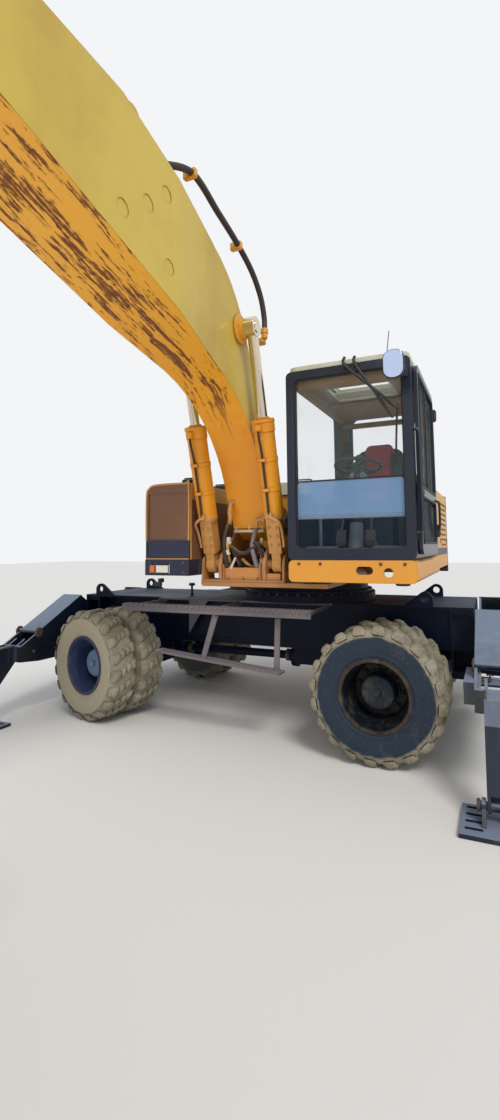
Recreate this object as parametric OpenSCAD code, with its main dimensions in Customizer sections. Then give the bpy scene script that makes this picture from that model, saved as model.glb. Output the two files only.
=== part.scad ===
// Wheeled excavator with twin tyres, four outriggers and a one-piece boom.
// Millimetres. Origin on the ground under the slewing axis, +X to the steered axle,
// +Y to the left of the chassis, +Z up. The upper machine is slewed a quarter turn,
// so its front looks along +Y and its cab stands on the -X side.

/* [Wheels and axles] */
// Diameter of a tyre over its lugs
tyre_d = 1050; // [960:10:1080]
// Width of one tyre
tyre_w = 280; // [240:5:300]
// Distance between the middles of twin tyres
twin_gap = 330; // [315:5:360]
// Middle of a twin wheel, measured from the centre line
track_half = 950; // [940:5:1000]
// Diameter of the rim flange
rim_d = 558; // [520:2:580]
// Diameter of the hub cap
hub_d = 264; // [230:2:280]
// Height of a tread lug
lug_h = 28; // [10:1:34]
// Lugs round one shoulder of a tyre
lug_count = 20; // [14:1:24]
// Place of the steered axle along the chassis
front_x = 1775; // [1760:1:1785]
// Place of the rear axle along the chassis
rear_x = -905; // [-950:5:-880]
// Distance of a steering pivot from the centre line
kingpin_y = 700; // [695:1:705]
// Steering angle at rest, turned to the right
steer_rest = -14.7; // [-20:0.1:0]

/* [Chassis] */
// Height of the chassis deck
deck_z = 1130; // [1100:5:1140]
// Half width of the chassis deck
deck_half = 500; // [480:5:510]
// Thickness of the deck plate
deck_t = 20; // [12:1:25]
// Half width of the chassis box
box_half = 330; // [300:5:335]
// Underside of the chassis box
box_z = 660; // [650:5:680]
// Middle of the front legs
leg_front_x = 2660; // [2650:5:2700]
// Middle of the rear legs
leg_rear_x = -1740; // [-1800:5:-1730]

/* [Outrigger legs] */
// Width of a leg beam
leg_w = 260; // [240:5:270]
// Thickness of its side plates
leg_t = 20; // [12:1:24]
// Distance of a leg pivot from the centre line
leg_pivot_y = 380; // [370:5:390]
// Height of a leg pivot
leg_pivot_z = 680; // [670:5:690]
// Radius of a leg pin
leg_pin_r = 35; // [30:1:40]
// Place of the foot plate from the centre line
pad_y = 1790; // [1760:5:1820]
// Side of the foot plate
pad_w = 440; // [380:10:480]

/* [Upper machine] */
// Top of the slewing ring
ring_z = 1300; // [1290:5:1310]
// Outer radius of the slewing ring
ring_r = 640; // [600:5:660]
// Inner side of the right-hand box
box_in = 745; // [740:5:760]
// Radius swept by the tail
tail_r = 2330; // [2280:10:2400]
// Half width of the upper machine
upper_half = 1220; // [1200:5:1240]
// Height of the engine housings
house_z = 2250; // [2200:10:2300]

/* [Cab] */
// Width of the cab
cab_w = 1020; // [980:10:1040]
// Left side of the cab
cab_x = -1250; // [-1260:5:-1240]
// Front of the cab
cab_front = 1220; // [1200:5:1240]
// Back of the cab
cab_back = -420; // [-440:5:-380]
// Floor level of the cab
cab_z = 1545; // [1545:1:1560]
// Height of the cab
cab_h = 1575; // [1540:5:1600]
// Thickness of a cab wall
cab_t = 60; // [45:1:70]
// Thickness of window glass
glass_t = 6; // [5:0.5:8]

/* [Boom, arm and bucket] */
// Middle plane of the boom
boom_x = 305; // [300:1:307]
// Half width of the boom at its foot
boom_foot_half = 195; // [188:1:196]
// Half width of the boom beside its cylinders
boom_half = 225; // [215:1:226]
// Half width of the boom past its bend
boom_wide_half = 285; // [260:5:290]
// Radius of the underside at the bend
bend_under_r = 1400; // [1300:10:1450]
// Radius of the top at the bend
bend_top_r = 1000; // [900:10:1100]
// Radius of the main pins
pin_r = 45; // [38:1:50]
// Distance of a boom cylinder from the boom's middle
boom_cyl_x = 330; // [330:1:332]
// Outside radius of a boom cylinder
boom_cyl_r = 90; // [75:1:90]
// Radius of a boom cylinder rod
boom_rod_r = 45; // [38:1:48]
// Half width of the arm
arm_half = 130; // [120:1:135]
// Length of the arm from pin to pin
arm_len = 2500; // [2400:10:2600]
// Width of the bucket
bucket_w = 1000; // [900:10:1040]
// Number of bucket teeth
tooth_count = 5; // [3:1:6]

/* [Hidden] */
$fn = 64;
navy = "#0E1A38";
yellow = "#D08A1E";
steel = "#B8BCC2";
rubber = "#6E6A60";
seat_gap = 0.3;
run_gap = 0.05;
clear = 8;
wheel_z = tyre_d / 2;
rim_r = rim_d / 2;
hub_r = hub_d / 2;
spindle_r = 60;
axle_seat_z = 620;

// A profile drawn in Y and Z, drawn out along X from x0 to x1
module along_x(x0, x1) {
    translate([x0, 0, 0]) rotate([90, 0, 90]) linear_extrude(x1 - x0) children();
}

// A profile drawn in X and Z, drawn out along Y from y0 to y1
module along_y(y0, y1) {
    translate([0, y1, 0]) rotate([90, 0, 0]) linear_extrude(y1 - y0) children();
}

// A box between two corners
module block(x0, x1, y0, y1, z0, z1) {
    translate([x0, y0, z0]) cube([x1 - x0, y1 - y0, z1 - z0]);
}

// A round bar along X
module bar_x(x0, x1, y, z, r) {
    translate([x0, y, z]) rotate([0, 90, 0]) cylinder(h = x1 - x0, r = r);
}

// A round bar along Y
module bar_y(y0, y1, x, z, r) {
    translate([x, y1, z]) rotate([90, 0, 0]) cylinder(h = y1 - y0, r = r);
}

// A rectangle with round corners, from its lower left corner
module round_rect(x0, y0, x1, y1, r) {
    translate([x0 + r, y0]) square([x1 - x0 - 2 * r, y1 - y0]);
    translate([x0, y0 + r]) square([x1 - x0, y1 - y0 - 2 * r]);
    for (cx = [x0 + r, x1 - r], cy = [y0 + r, y1 - r]) translate([cx, cy]) circle(r = r);
}

// Points on an arc of radius r about (cy, cz), from angle a0 to a1 in n steps
function arc(cy, cz, r, a0, a1, n) =
    [for (i = [0:n]) let (a = a0 + (a1 - a0) * i / n) [cy + r * cos(a), cz + r * sin(a)]];

// Puts what is drawn along +Z from the origin between two points of the plane at x
module between(x, p, q) {
    translate([x, p[0], p[1]]) rotate([atan2(q[1] - p[1], q[0] - p[0]) - 90, 0, 0]) children();
}

// What is drawn for the left side, on the left (1) or mirrored to the right (-1)
module on_side(side) {
    if (side > 0) children();
    else mirror([0, 1, 0]) children();
}

// What is drawn for a wheel straight ahead at X 0, turned about its steering pivot
module steered(side) {
    translate([front_x, side * kingpin_y, 0]) rotate([0, 0, steer_rest])
        on_side(side) translate([0, -kingpin_y, 0]) children();
}

// Columns: radius, half width. Outline of a tyre from bead to tread
bead = 0.39;
tyre_section = [[rim_r - 16, bead], [rim_r + 2, bead], [rim_r + 9, 0.415], [330, 0.46], [385, 0.5], [440, 0.49],
    [478, 0.44], [495, 0.36]];
tread_drop = tyre_d / 2 - 525;

// One tyre, its middle at Y 0, its axis along Y
module tyre() {
    body = [for (s = tyre_section) [s[0] + (s[0] > 300 ? tread_drop : 0), s[1] * tyre_w]];
    mirrored = [for (i = [len(body) - 1:-1:0]) [body[i][0], -body[i][1]]];
    lug_top = tyre_d / 2;
    root = body[len(body) - 1][0];
    rotate([-90, 0, 0]) {
        rotate_extrude() polygon(concat(body, mirrored));
        for (s = [0, 1]) mirror([0, 0, s]) rotate([0, 0, s * 180 / lug_count]) intersection() {
            translate([0, 0, tyre_w * 0.03]) linear_extrude(tyre_w * 0.47) difference() {
                lug_star(lug_top, lug_top - lug_h - 6);
                circle(r = root - 22);
            }
            rotate_extrude() polygon([[root - 60, 0], [lug_top, 0], [lug_top, tyre_w * 0.35],
                [root - 12, tyre_w * 0.5], [root - 60, tyre_w * 0.5]]);
        }
    }
}

// A star of lugs with tips on radius r1 and valleys on radius r0
module lug_star(r1, r0) {
    pitch = 360 / lug_count;
    tip = r1 / cos(pitch * 0.2);
    polygon([for (i = [0:lug_count - 1]) each [
        [r0 * cos((i - 0.34) * pitch), r0 * sin((i - 0.34) * pitch)],
        [tip * cos((i - 0.2) * pitch), tip * sin((i - 0.2) * pitch)],
        [tip * cos((i + 0.2) * pitch), tip * sin((i + 0.2) * pitch)],
        [r0 * cos((i + 0.34) * pitch), r0 * sin((i + 0.34) * pitch)]]]);
}

// Twin tyres of the left side at X 0
module twin_tyres() {
    color(rubber) for (s = [-1, 1]) translate([0, track_half + s * twin_gap / 2, wheel_z]) tyre();
}

// Twin rims and hub of the left side at X 0: a rim in each tyre, back to back discs and a hub
module twin_rims() {
    half = tyre_w * bead + seat_gap;
    disc_y = 12;
    mid = twin_gap / 2;
    color(navy) translate([0, track_half, wheel_z]) rotate([-90, 0, 0]) difference() {
        union() {
            for (s = [0, 1]) mirror([0, 0, s]) {
                rotate_extrude() polygon([[rim_r - 49, disc_y], [rim_r - 49, mid - half + 12],
                    [rim_r - 17.5, mid - half + 4], [rim_r - 17.5, mid - half], [rim_r, mid - half],
                    [rim_r, mid - half - 14], [rim_r - 32, mid - half - 14], [rim_r - 62, disc_y]]);
                rotate_extrude() polygon([[rim_r - 62, disc_y], [rim_r - 32, mid - half - 14],
                    [rim_r - 17.5, mid - half], [rim_r - 17.5, mid + half], [rim_r, mid + half],
                    [rim_r, mid + half + 12], [rim_r - 26, mid + half + 12], [rim_r - 32, mid + half],
                    [rim_r - 49, mid + half - 60], [rim_r - 62, disc_y + 30]]);
                rotate_extrude() polygon([[120, 0], [rim_r - 46, 0], [rim_r - 46, disc_y + 22], [rim_r - 62, disc_y + 22],
                    [rim_r - 74, disc_y], [120, disc_y]]);
            }
            translate([0, 0, -130]) cylinder(h = 130, r = 128);
            cylinder(h = 40, r = 150);
            rotate_extrude() polygon([[0, 0], [hub_r + 6, 0], [hub_r + 6, 70], [hub_r, 76], [hub_r, 150],
                [hub_r - 12, 165], [hub_r - 60, 172], [0, 174]]);
        }
        translate([0, 0, -131]) cylinder(h = 181, r = spindle_r + run_gap);
    }
}

// Chassis

// Half of an end frame that carries a leg pair, its middle at X 0, the machine at -X
module end_nose() {
    inner = -leg_w / 2 - 15;
    outer = leg_w / 2 + clear;
    arc_r = 115 + clear;
    block(inner, outer + 20, -50, 50, 560, 1010);
    block(outer, outer + 20, -leg_pivot_y - 80, leg_pivot_y + 80, 580, 780);
    block(inner, outer + 20, -leg_pivot_y + arc_r + 40, leg_pivot_y - arc_r - 40, 540, 640);
    for (s = [-1, 1]) bar_x(inner - 5, outer + 40, s * leg_pivot_y, leg_pivot_z, leg_pin_r);
}

// Cross box at a chassis end, its outer face at X 0
module end_box(depth) {
    difference() {
        block(-depth, 0, -deck_half, deck_half, 540, deck_z);
        block(-depth + 20, -20, -deck_half - 1, deck_half + 1, 600, deck_z - 60);
    }
    block(-depth, 0, -box_half, box_half, 560, deck_z);
}

// A lifting eye on a side of the deck: a plate with a round head and a hole, and a shoulder that slopes down
// to the machine's middle
module lifting_eye(x, side, way) {
    y = side * (deck_half - 15);
    head = 65;
    along_y(y - 15, y + 15) difference() {
        union() {
            translate([x, deck_z + 60]) circle(r = head);
            polygon([[x - way * head, deck_z - 5], [x - way * head, deck_z + 60], [x + way * 38, deck_z + 112],
                [x + way * 190, deck_z - 5]]);
        }
        translate([x, deck_z + 65]) circle(r = 32);
    }
}

module chassis_frame() {
    front_end = leg_front_x - leg_w / 2 - 15;
    rear_end = leg_rear_x + leg_w / 2 + 15;
    color(navy) {
        block(rear_end, front_end, -box_half, box_half, box_z, deck_z - deck_t);
        block(rear_end, front_end, -deck_half, deck_half, deck_z - deck_t, deck_z);
        for (s = [-1, 1]) block(rear_end + 20, 1120, s > 0 ? deck_half - 60 : -deck_half + 40,
            s > 0 ? deck_half - 40 : -deck_half + 60, 760, deck_z);
        translate([0, 0, deck_z]) cylinder(h = 70, r = ring_r + 30);
        translate([front_end, 0, 0]) end_box(190);
        translate([rear_end, 0, 0]) mirror([1, 0, 0]) end_box(190);
        translate([leg_front_x, 0, 0]) end_nose();
        translate([leg_rear_x, 0, 0]) mirror([1, 0, 0]) end_nose();
        for (s = [-1, 1]) {
            lifting_eye(rear_end + 385, s, 1);
            lifting_eye(front_end - 203, s, -1);
        }
        for (s = [-1, 1]) along_y(s * 260 - 20, s * 260 + 20) polygon([[rear_x - 150, axle_seat_z],
            [rear_x + 150, axle_seat_z], [rear_x + 230, box_z + 5], [rear_x - 230, box_z + 5]]);
        for (s = [-1, 1]) along_x(front_x + s * 300 - 22, front_x + s * 300 + 22) difference() {
            polygon([[-150, box_z + 5], [-95, 430], [95, 430], [150, box_z + 5]]);
            translate([0, wheel_z]) circle(r = trunnion_r + run_gap);
        }
    }
}

module slew_ring() {
    color(navy) translate([0, 0, deck_z + 70]) difference() {
        union() {
            cylinder(h = ring_z - deck_z - 70 - seat_gap, r = ring_r - 40);
            cylinder(h = 34, r = ring_r);
        }
        translate([0, 0, -1]) cylinder(h = ring_z - deck_z, r = ring_r - 110);
    }
}

// Outline of an axle tube: columns are distance from the middle, half height
axle_section = [[100, 130], [150, 112], [210, 90], [330, 76], [470, 66]];

// Axle housing turned about its own line, with more points (radius, distance) to its ends
module axle_housing(ends) {
    half = concat([for (s = axle_section) [s[1], s[0]]], ends);
    mirrored = [for (i = [len(half) - 1:-1:0]) [half[i][0], -half[i][1]]];
    rotate([-90, 0, 0]) rotate_extrude() polygon(concat(mirrored, half));
}

trunnion_r = 60;
steer_arm = 150;
rod_back = 141;
rod_drop = 80;
module front_axle() {
    color(navy) difference() {
        union() {
            translate([front_x, 0, wheel_z]) {
                axle_housing([[62, kingpin_y - 20], [0, kingpin_y - 20]]);
                bar_x(-330, 330, 0, 0, trunnion_r);
                bar_x(-150, 150, 0, 0, 104);
            }
            for (s = [-1, 1]) translate([front_x, s * kingpin_y, wheel_z - 95]) cylinder(h = 190, r = 78);
            bar_y(-260, 260, front_x - rod_back, wheel_z - rod_drop, 48);
        }
        for (s = [-1, 1]) translate([front_x, s * kingpin_y, wheel_z - 100]) cylinder(h = 200, r = 30 + run_gap);
        bar_y(-270, 270, front_x - rod_back, wheel_z - rod_drop, 22 + run_gap);
    }
}

module rear_axle() {
    flange = 760;
    color(navy) {
        translate([rear_x, 0, wheel_z]) {
            axle_housing([[66, flange - 30], [130, flange - 30], [130, flange], [spindle_r, flange],
                [spindle_r, track_half + 48], [0, track_half + 48]]);
            bar_x(0, 240, 0, 0, 104);
        }
        for (s = [-1, 1]) block(rear_x - 90, rear_x + 90, s * 260 - 50, s * 260 + 50, 560, axle_seat_z);
    }
}

module driveline() {
    color(navy) {
        block(-420, 120, -150, 150, 470, box_z);
        translate([120, 0, wheel_z]) rotate([0, 90, 0]) cylinder(h = 60, r = 110);
        bar_x(180, front_x - 330, 0, wheel_z, 42);
        bar_x(rear_x + 240, -420, 0, wheel_z, 42);
    }
}

// Steps

// Rail of a walkway step, with a serrated outer edge
module step_rail(x0, x1) {
    pitch = 60;
    count = floor((x1 - x0) / pitch);
    block(x0, x1, 1100, 1180, 1112, deck_z);
    block(x0, x1, 1172, 1180, 1066, deck_z);
    for (i = [0:count - 1]) block(x0 + i * pitch + 12, x0 + i * pitch + 42, 1180, 1192, 1110, deck_z);
    for (x = [x0 + 40, (x0 + x1) / 2, x1 - 60]) block(x, x + 20, deck_half, 1101, 1080, 1113);
    block(x0, x1, deck_half, 560, 1112, deck_z);
}

module side_steps() {
    color(navy) {
        // Left: the lower step hangs bent from its straps
        step_rail(-400, 1480);
        along_y(1060, 1190) polygon([[-120, 600], [560, 655], [1105, 704], [1105, 720], [560, 671], [-120, 616]]);
        along_y(1150, 1160) polygon([[440, 1112], [500, 1112], [640, 668], [590, 664]]);
        along_y(1100, 1110) polygon([[-110, 1112], [-60, 1112], [-40, 612], [-90, 608]]);
        along_y(540, 550) polygon([[1120, 1113], [900, 1113], [1120, 780]]);
        // Right: the same step, straight
        mirror([0, 1, 0]) {
            step_rail(-400, 1480);
            block(-120, 1105, 1060, 1190, 640, 656);
            for (x = [-60, 500, 1040]) block(x, x + 50, 1150, 1160, 656, 1112);
        }
    }
}

// Steering

module knuckle() {
    hub_face = track_half - 135;
    color(navy) {
        for (z = [wheel_z - 150, wheel_z + 103]) {
            translate([0, kingpin_y, z]) cylinder(h = 47, r = 62);
            block(-56, 56, kingpin_y, hub_face - 20, z, z + 47);
        }
        translate([0, kingpin_y, wheel_z - 150]) cylinder(h = 300, r = 30);
        bar_y(hub_face - 25, hub_face, 0, wheel_z, 175);
        bar_y(hub_face - 10, track_half + 48, 0, wheel_z, spindle_r);
        block(-steer_arm - 26, 0, kingpin_y - 30, kingpin_y + 30, wheel_z + 106, wheel_z + 138);
        translate([-steer_arm, kingpin_y, wheel_z - rod_drop + 31]) cylinder(h = 80 + rod_drop, r = 20);
    }
}

module left_knuckle() steered(1) knuckle();
module right_knuckle() steered(-1) knuckle();

// The steering rod is pushed to the left as far as the wheels are turned
rod_shift = -steer_arm * sin(steer_rest);
module steering_rod() {
    y0 = kingpin_y - 20;
    color(steel) {
        bar_y(rod_shift - y0, rod_shift + y0, front_x - rod_back, wheel_z - rod_drop, 22);
        for (s = [-1, 1]) translate([front_x - rod_back, rod_shift + s * kingpin_y, wheel_z - rod_drop - 25])
            cylinder(h = 50, r = 32);
    }
}

module front_left_tyres() steered(1) twin_tyres();
module front_right_tyres() steered(-1) twin_tyres();
module rear_left_tyres() translate([rear_x, 0, 0]) twin_tyres();
module rear_right_tyres() translate([rear_x, 0, 0]) on_side(-1) twin_tyres();
module front_left_rims() steered(1) twin_rims();
module front_right_rims() steered(-1) twin_rims();
module rear_left_rims() translate([rear_x, 0, 0]) twin_rims();
module rear_right_rims() translate([rear_x, 0, 0]) on_side(-1) twin_rims();

// Outrigger legs

// Outline of a leg's side plate in Y and Z
module leg_outline() {
    p = [leg_pivot_y, leg_pivot_z];
    polygon(concat([[400, 1010], [570, 1122], [1420, 686], [1650, 690], [1735, 560], [1835, 190],
        [1835, 90], [1745, 90], [1620, 330], [1420, 540], [1180, 512], [700, 508]],
        arc(p[0], p[1], 115, 300, 120, 9)));
}

// A left leg, its middle at X 0
module leg() {
    half = leg_w / 2;
    foot = 65;
    color(navy) difference() {
        union() {
            for (s = [-1, 1]) along_x(s > 0 ? half - leg_t : -half, s > 0 ? half : -half + leg_t) difference() {
                leg_outline();
                polygon([[1420, 200], [1420, 690], [1900, 800], [1900, 0]]);
            }
            for (s = [-1, 1]) along_x(s > 0 ? foot - leg_t : -foot, s > 0 ? foot : -foot + leg_t) intersection() {
                leg_outline();
                polygon([[1300, 0], [1300, 800], [2000, 800], [2000, 0]]);
            }
            along_x(-half, half) polygon([[560, 1127], [570, 1130], [1190, 812], [1183, 799], [575, 1104]]);
            bar_x(-half, half, 1188, 803, 24);
            along_x(-half, half) polygon([[960, 508], [1180, 512], [1420, 540], [1420, 556], [1180, 528], [960, 524]]);
            along_x(-half, half) polygon([[1400, 540], [1420, 540], [1420, 690], [1400, 700]]);
            along_x(-foot, foot) polygon([[1420, 668], [1640, 672], [1716, 556], [1812, 200], [1835, 190],
                [1735, 560], [1650, 690], [1420, 690]]);
            along_x(-foot, foot) polygon([[1404, 541], [1420, 540], [1620, 330], [1735, 110], [1755, 118], [1640, 342],
                [1432, 556], [1404, 556]]);
            for (s = [-1, 1]) along_x(s * 85 - 12, s * 85 + 12) polygon(concat([[pad_y - 90, 24], [pad_y + 90, 24]],
                arc(pad_y, 115, 45, 0, 180, 6)));
            bar_x(-105, 105, pad_y, 115, 26);
            block(-pad_w / 2, pad_w / 2, pad_y - pad_w / 2 + 20, pad_y + pad_w / 2 - 20, 0, 25);
        }
        bar_x(-half - 1, half + 1, leg_pivot_y, leg_pivot_z, leg_pin_r + run_gap);
    }
}

module front_left_leg() translate([leg_front_x, 0, 0]) leg();
module front_right_leg() translate([leg_front_x, 0, 0]) mirror([0, 1, 0]) leg();

// A rear leg also has a flat box on its side that faces the wheel
module rear_leg() {
    leg();
    color(navy) block(leg_w / 2 - 1, leg_w / 2 + 65, 930, 1420, 592, 736);
}
module rear_left_leg() translate([leg_rear_x, 0, 0]) rear_leg();
module rear_right_leg() translate([leg_rear_x, 0, 0]) mirror([0, 1, 0]) rear_leg();

// Upper machine

tail_y = tail_r - 430;
boom_foot = [500, 1880];
cyl_foot = [900, 1500];
cyl_head = [1450, 3470];

module bracket_outline() {
    polygon([[150, ring_z + 10], [330, 1930], [500, 2040], [640, 1960], [700, 1760], [960, 1590], [1000, 1480],
        [980, ring_z + 10]]);
}

// An open-bottomed box of sheet, from its outer corners and the thickness of its walls
module tray(x0, x1, y0, y1, z0, z1, t) {
    difference() {
        block(x0, x1, y0, y1, z0, z1);
        block(x0 + t, x1 - t, y0 + t, y1 - t, z0 - 1, z1 - t);
    }
}

module upper_frame() {
    top = cab_z - seat_gap;
    skirt_z = top - 176;
    cyl_plate = boom_cyl_x + 70;
    color(yellow) {
        // Base plate, boom brackets and cylinder feet
        difference() {
            block(-500, 700, -1500, 1010, ring_z, ring_z + 40);
            translate([0, 0, ring_z - 1]) cylinder(h = 42, r = 300);
        }
        for (s = [-1, 1]) {
            x0 = boom_x + s * (boom_foot_half + 22.5);
            x1 = boom_x + s * cyl_plate;
            along_x(x0 - 17.5, x0 + 17.5) bracket_outline();
            along_x(x1 - 12, x1 + 12) polygon(concat([[770, ring_z + 20], [1000, ring_z + 20]],
                arc(cyl_foot[0], cyl_foot[1], 90, 0, 180, 10)));
            bar_x(s > 0 ? x0 : x1 - 20, s > 0 ? x1 + 20 : x0, cyl_foot[0], cyl_foot[1], pin_r);
        }
        bar_x(boom_x - boom_foot_half - 60, boom_x + boom_foot_half + 60, boom_foot[0], boom_foot[1], pin_r + 10);
        block(boom_x - cyl_plate - 12, boom_x + cyl_plate + 12, 770, 1000, ring_z + 10, ring_z + 60);
        // Centre box and rear girders
        block(-490, 650, -520, 400, ring_z + 30, 1420);
        for (x = [boom_x - 320, boom_x + 120]) block(x - 20, x + 20, 10 - tail_y, -500, ring_z + 30, 1500);
        // Cab platform, open below, with an oval and a round hole in its front skirt
        difference() {
            along_y(-500, cab_front) round_rect(cab_x, skirt_z, cab_x + cab_w, top, 40);
            block(cab_x + 14, cab_x + cab_w - 14, -486, cab_front - 14, skirt_z - 1, top - 14);
            translate([cab_x + 396, cab_front + 1, 1465]) rotate([90, 0, 0]) linear_extrude(40)
                round_rect(-65, -30, 65, 30, 29);
            bar_y(cab_front - 40, cab_front + 1, cab_x + 213, 1450, 36);
        }
        block(-480, cab_x + cab_w - 7, -300, 300, ring_z + 30, skirt_z + 60);
        // Right and rear platforms
        tray(box_in, upper_half, -510, 1180, 1400, top, 14);
        block(600, box_in + 10, -400, 400, ring_z + 50, 1410);
        tray(-upper_half, upper_half, -tail_y, -490, 1400, top, 14);
    }
}

hood_hinge = [-tail_y - 40, 2300];
module counterweight() {
    color(navy) {
        difference() {
            intersection() {
                translate([0, 0, 1320]) cylinder(h = 950, r = tail_r, $fn = 128);
                along_x(-upper_half, upper_half) polygon([[-tail_y - seat_gap, 1320], [-tail_y - seat_gap, 2270],
                    [150 - tail_r, 2270], [-tail_r - 10, 2120], [-tail_r - 10, 1480], [130 - tail_r, 1320]]);
            }
            for (s = [-1, 1]) translate([s * 700, 250 - tail_r, 2200]) cylinder(h = 80, r = 40);
        }
        // Lugs and pins of the hood
        for (x = [-400, 400]) {
            for (s = [-1, 1]) along_x(x + s * 50 - 7, x + s * 50 + 7) {
                translate(hood_hinge) circle(r = 22);
                translate(hood_hinge - [22, 35]) square([44, 35]);
            }
            bar_x(x - 50, x + 50, hood_hinge[0], hood_hinge[1], 10);
        }
    }
}

module right_tank() {
    color(yellow) difference() {
        union() {
            along_y(-500 + seat_gap, 1170) {
                difference() {
                    translate([box_in, cab_z]) square([upper_half - box_in, house_z - cab_z]);
                    translate([upper_half - 120, house_z - 120]) square([121, 121]);
                }
                translate([upper_half - 120, house_z - 120]) circle(r = 120);
            }
            for (y = [200, 850]) translate([930, y, house_z - 1]) cylinder(h = 35, r = 70);
        }
        // Front panel between raised edges, and the dark band under it
        along_y(1158, 1171) {
            translate([box_in + 20, 1730]) square([upper_half - box_in - 48, 430]);
            translate([box_in + 15, 1580]) square([upper_half - box_in - 30, 120]);
        }
    }
}

module engine_housings() {
    slats = 9;
    front_y = -500 - seat_gap;
    color(navy) difference() {
        union() {
            block(-upper_half, -640, 5 - tail_y, -460, cab_z, house_z);
            block(640, upper_half, 5 - tail_y, front_y, cab_z, house_z);
            block(-645, 645, front_y - 20, front_y, cab_z, house_z);
        }
        for (x = [-upper_half - 1, upper_half - 25], i = [0:slats - 1])
            block(x, x + 26, 100 - tail_y, 750 - tail_y, 1640 + i * 60, 1665 + i * 60);
        block(-upper_half + 30, -670, 40 - tail_y, -500, 1600, house_z - 20);
        block(670, upper_half - 30, 40 - tail_y, -530, 1600, house_z - 20);
    }
}

module engine_hood() {
    low = house_z + 6;
    color(yellow) difference() {
        union() {
            difference() {
                along_y(10 - tail_y, -470) polygon([[-632, low], [-632, 2330], [-560, 2400], [560, 2400],
                    [632, 2330], [632, low]]);
                along_y(30 - tail_y, -490) polygon([[-612, low - 1], [-612, 2322], [-552, 2382], [552, 2382],
                    [612, 2322], [612, low - 1]]);
            }
            for (x = [-400, 400]) {
                bar_x(x - 38, x + 38, hood_hinge[0], hood_hinge[1], 22);
                block(x - 38, x + 38, hood_hinge[0], 20 - tail_y, hood_hinge[1] - 8, hood_hinge[1] + 12);
            }
        }
        for (x = [-400, 400]) bar_x(x - 39, x + 39, hood_hinge[0], hood_hinge[1], 10 + run_gap);
        for (i = [0:7]) block(-420, -40, 200 + i * 60 - tail_y, 230 + i * 60 - tail_y, 2370, 2410);
    }
}

module engine() {
    color("dimgray") block(-480, 520, 250 - tail_y, -750, cab_z, 2100);
}

module exhaust() {
    color("dimgray") translate([upper_half - 290, -1000, house_z + seat_gap]) {
        cylinder(h = 12, r = 95);
        cylinder(h = 300, r = 70);
        difference() {
            cylinder(h = 460, r = 45);
            translate([0, 0, 400]) cylinder(h = 61, r = 38);
        }
    }
}

// Cab

win_z0 = 2330;
win_z1 = cab_z + cab_h - 75;
door_x = cab_x - 34;
hinge_x = door_x - 10;
hinge_y = -30;
hinge_z = [cab_z + 200, cab_z + cab_h - 260];

module cab_shell() {
    x1 = cab_x + cab_w;
    z1 = cab_z + cab_h;
    color(navy) difference() {
        along_y(cab_back, cab_front) round_rect(cab_x, cab_z, x1, z1, 45);
        block(cab_x + cab_t, x1 - cab_t, cab_back + cab_t, cab_front - cab_t, cab_z + cab_t, z1 - cab_t);
        // Front, rear and right windows
        along_y(cab_front - cab_t - 1, cab_front + 1) round_rect(cab_x + 70, cab_z + 85, x1 - 70, z1 - 70, 50);
        along_y(cab_back - 1, cab_back + cab_t + 1) round_rect(cab_x + 160, win_z0, x1 - 160, win_z1, 90);
        along_x(x1 - cab_t - 1, x1 + 1) round_rect(cab_back + 140, 2100, cab_front - 110, win_z1, 60);
        // Window behind the door, and the doorway
        along_x(cab_x - 1, cab_x + cab_t + 1) {
            round_rect(cab_back + 90, 2250, -80, win_z1, 50);
            round_rect(20, cab_z + 70, 1090, z1 - 70, 70);
        }
        // Roof hatch
        block(cab_x + 230, x1 - 230, 350, 900, z1 - cab_t - 1, z1 + 1);
    }
    // Rail inside the windscreen
    color(navy) block(cab_x + cab_t - 5, x1 - cab_t + 5, cab_front - cab_t - 25, cab_front - cab_t + 2, 1880, 1905);
    // Hinge lugs and pins of the door
    color(navy) for (z = hinge_z) {
        for (h = [-14, 93]) translate([0, 0, z + h]) linear_extrude(11) {
            translate([hinge_x, hinge_y]) circle(r = 14);
            translate([hinge_x, hinge_y - 14]) square([cab_x - hinge_x + 2, 28]);
        }
        translate([hinge_x, hinge_y, z - 10]) cylinder(h = 110, r = 10);
    }
}

module cab_roof() {
    x1 = cab_x + cab_w;
    z1 = cab_z + cab_h;
    color("ivory") difference() {
        translate([0, 0, z1 + seat_gap]) linear_extrude(40) round_rect(cab_x + 15, cab_back + 20, x1 - 15, cab_front - 10, 80);
        block(cab_x + 240, x1 - 240, 360, 890, z1 - 10, z1 + 60);
    }
}

module cab_glass() {
    x1 = cab_x + cab_w;
    z1 = cab_z + cab_h;
    mid = cab_z + 645;
    color("lightblue", 0.4) {
        // Windscreen in two panes
        along_y(cab_front - 40, cab_front - 40 + glass_t) {
            round_rect(cab_x + 70 + seat_gap, cab_z + 85 + seat_gap, x1 - 70 - seat_gap, mid - 4, 49);
            round_rect(cab_x + 70 + seat_gap, mid + 4, x1 - 70 - seat_gap, z1 - 70 - seat_gap, 49);
        }
        along_y(cab_back + 20, cab_back + 20 + glass_t)
            round_rect(cab_x + 160 + seat_gap, win_z0 + seat_gap, x1 - 160 - seat_gap, win_z1 - seat_gap, 89);
        along_x(x1 - 40, x1 - 40 + glass_t)
            round_rect(cab_back + 140 + seat_gap, 2100 + seat_gap, cab_front - 110 - seat_gap, win_z1 - seat_gap, 59);
        along_x(cab_x + 30, cab_x + 30 + glass_t)
            round_rect(cab_back + 90 + seat_gap, 2250 + seat_gap, -80 - seat_gap, win_z1 - seat_gap, 49);
        block(cab_x + 240 + seat_gap, x1 - 240 - seat_gap, 360 + seat_gap, 890 - seat_gap, z1 + 20, z1 + 20 + glass_t);
    }
}

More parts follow.
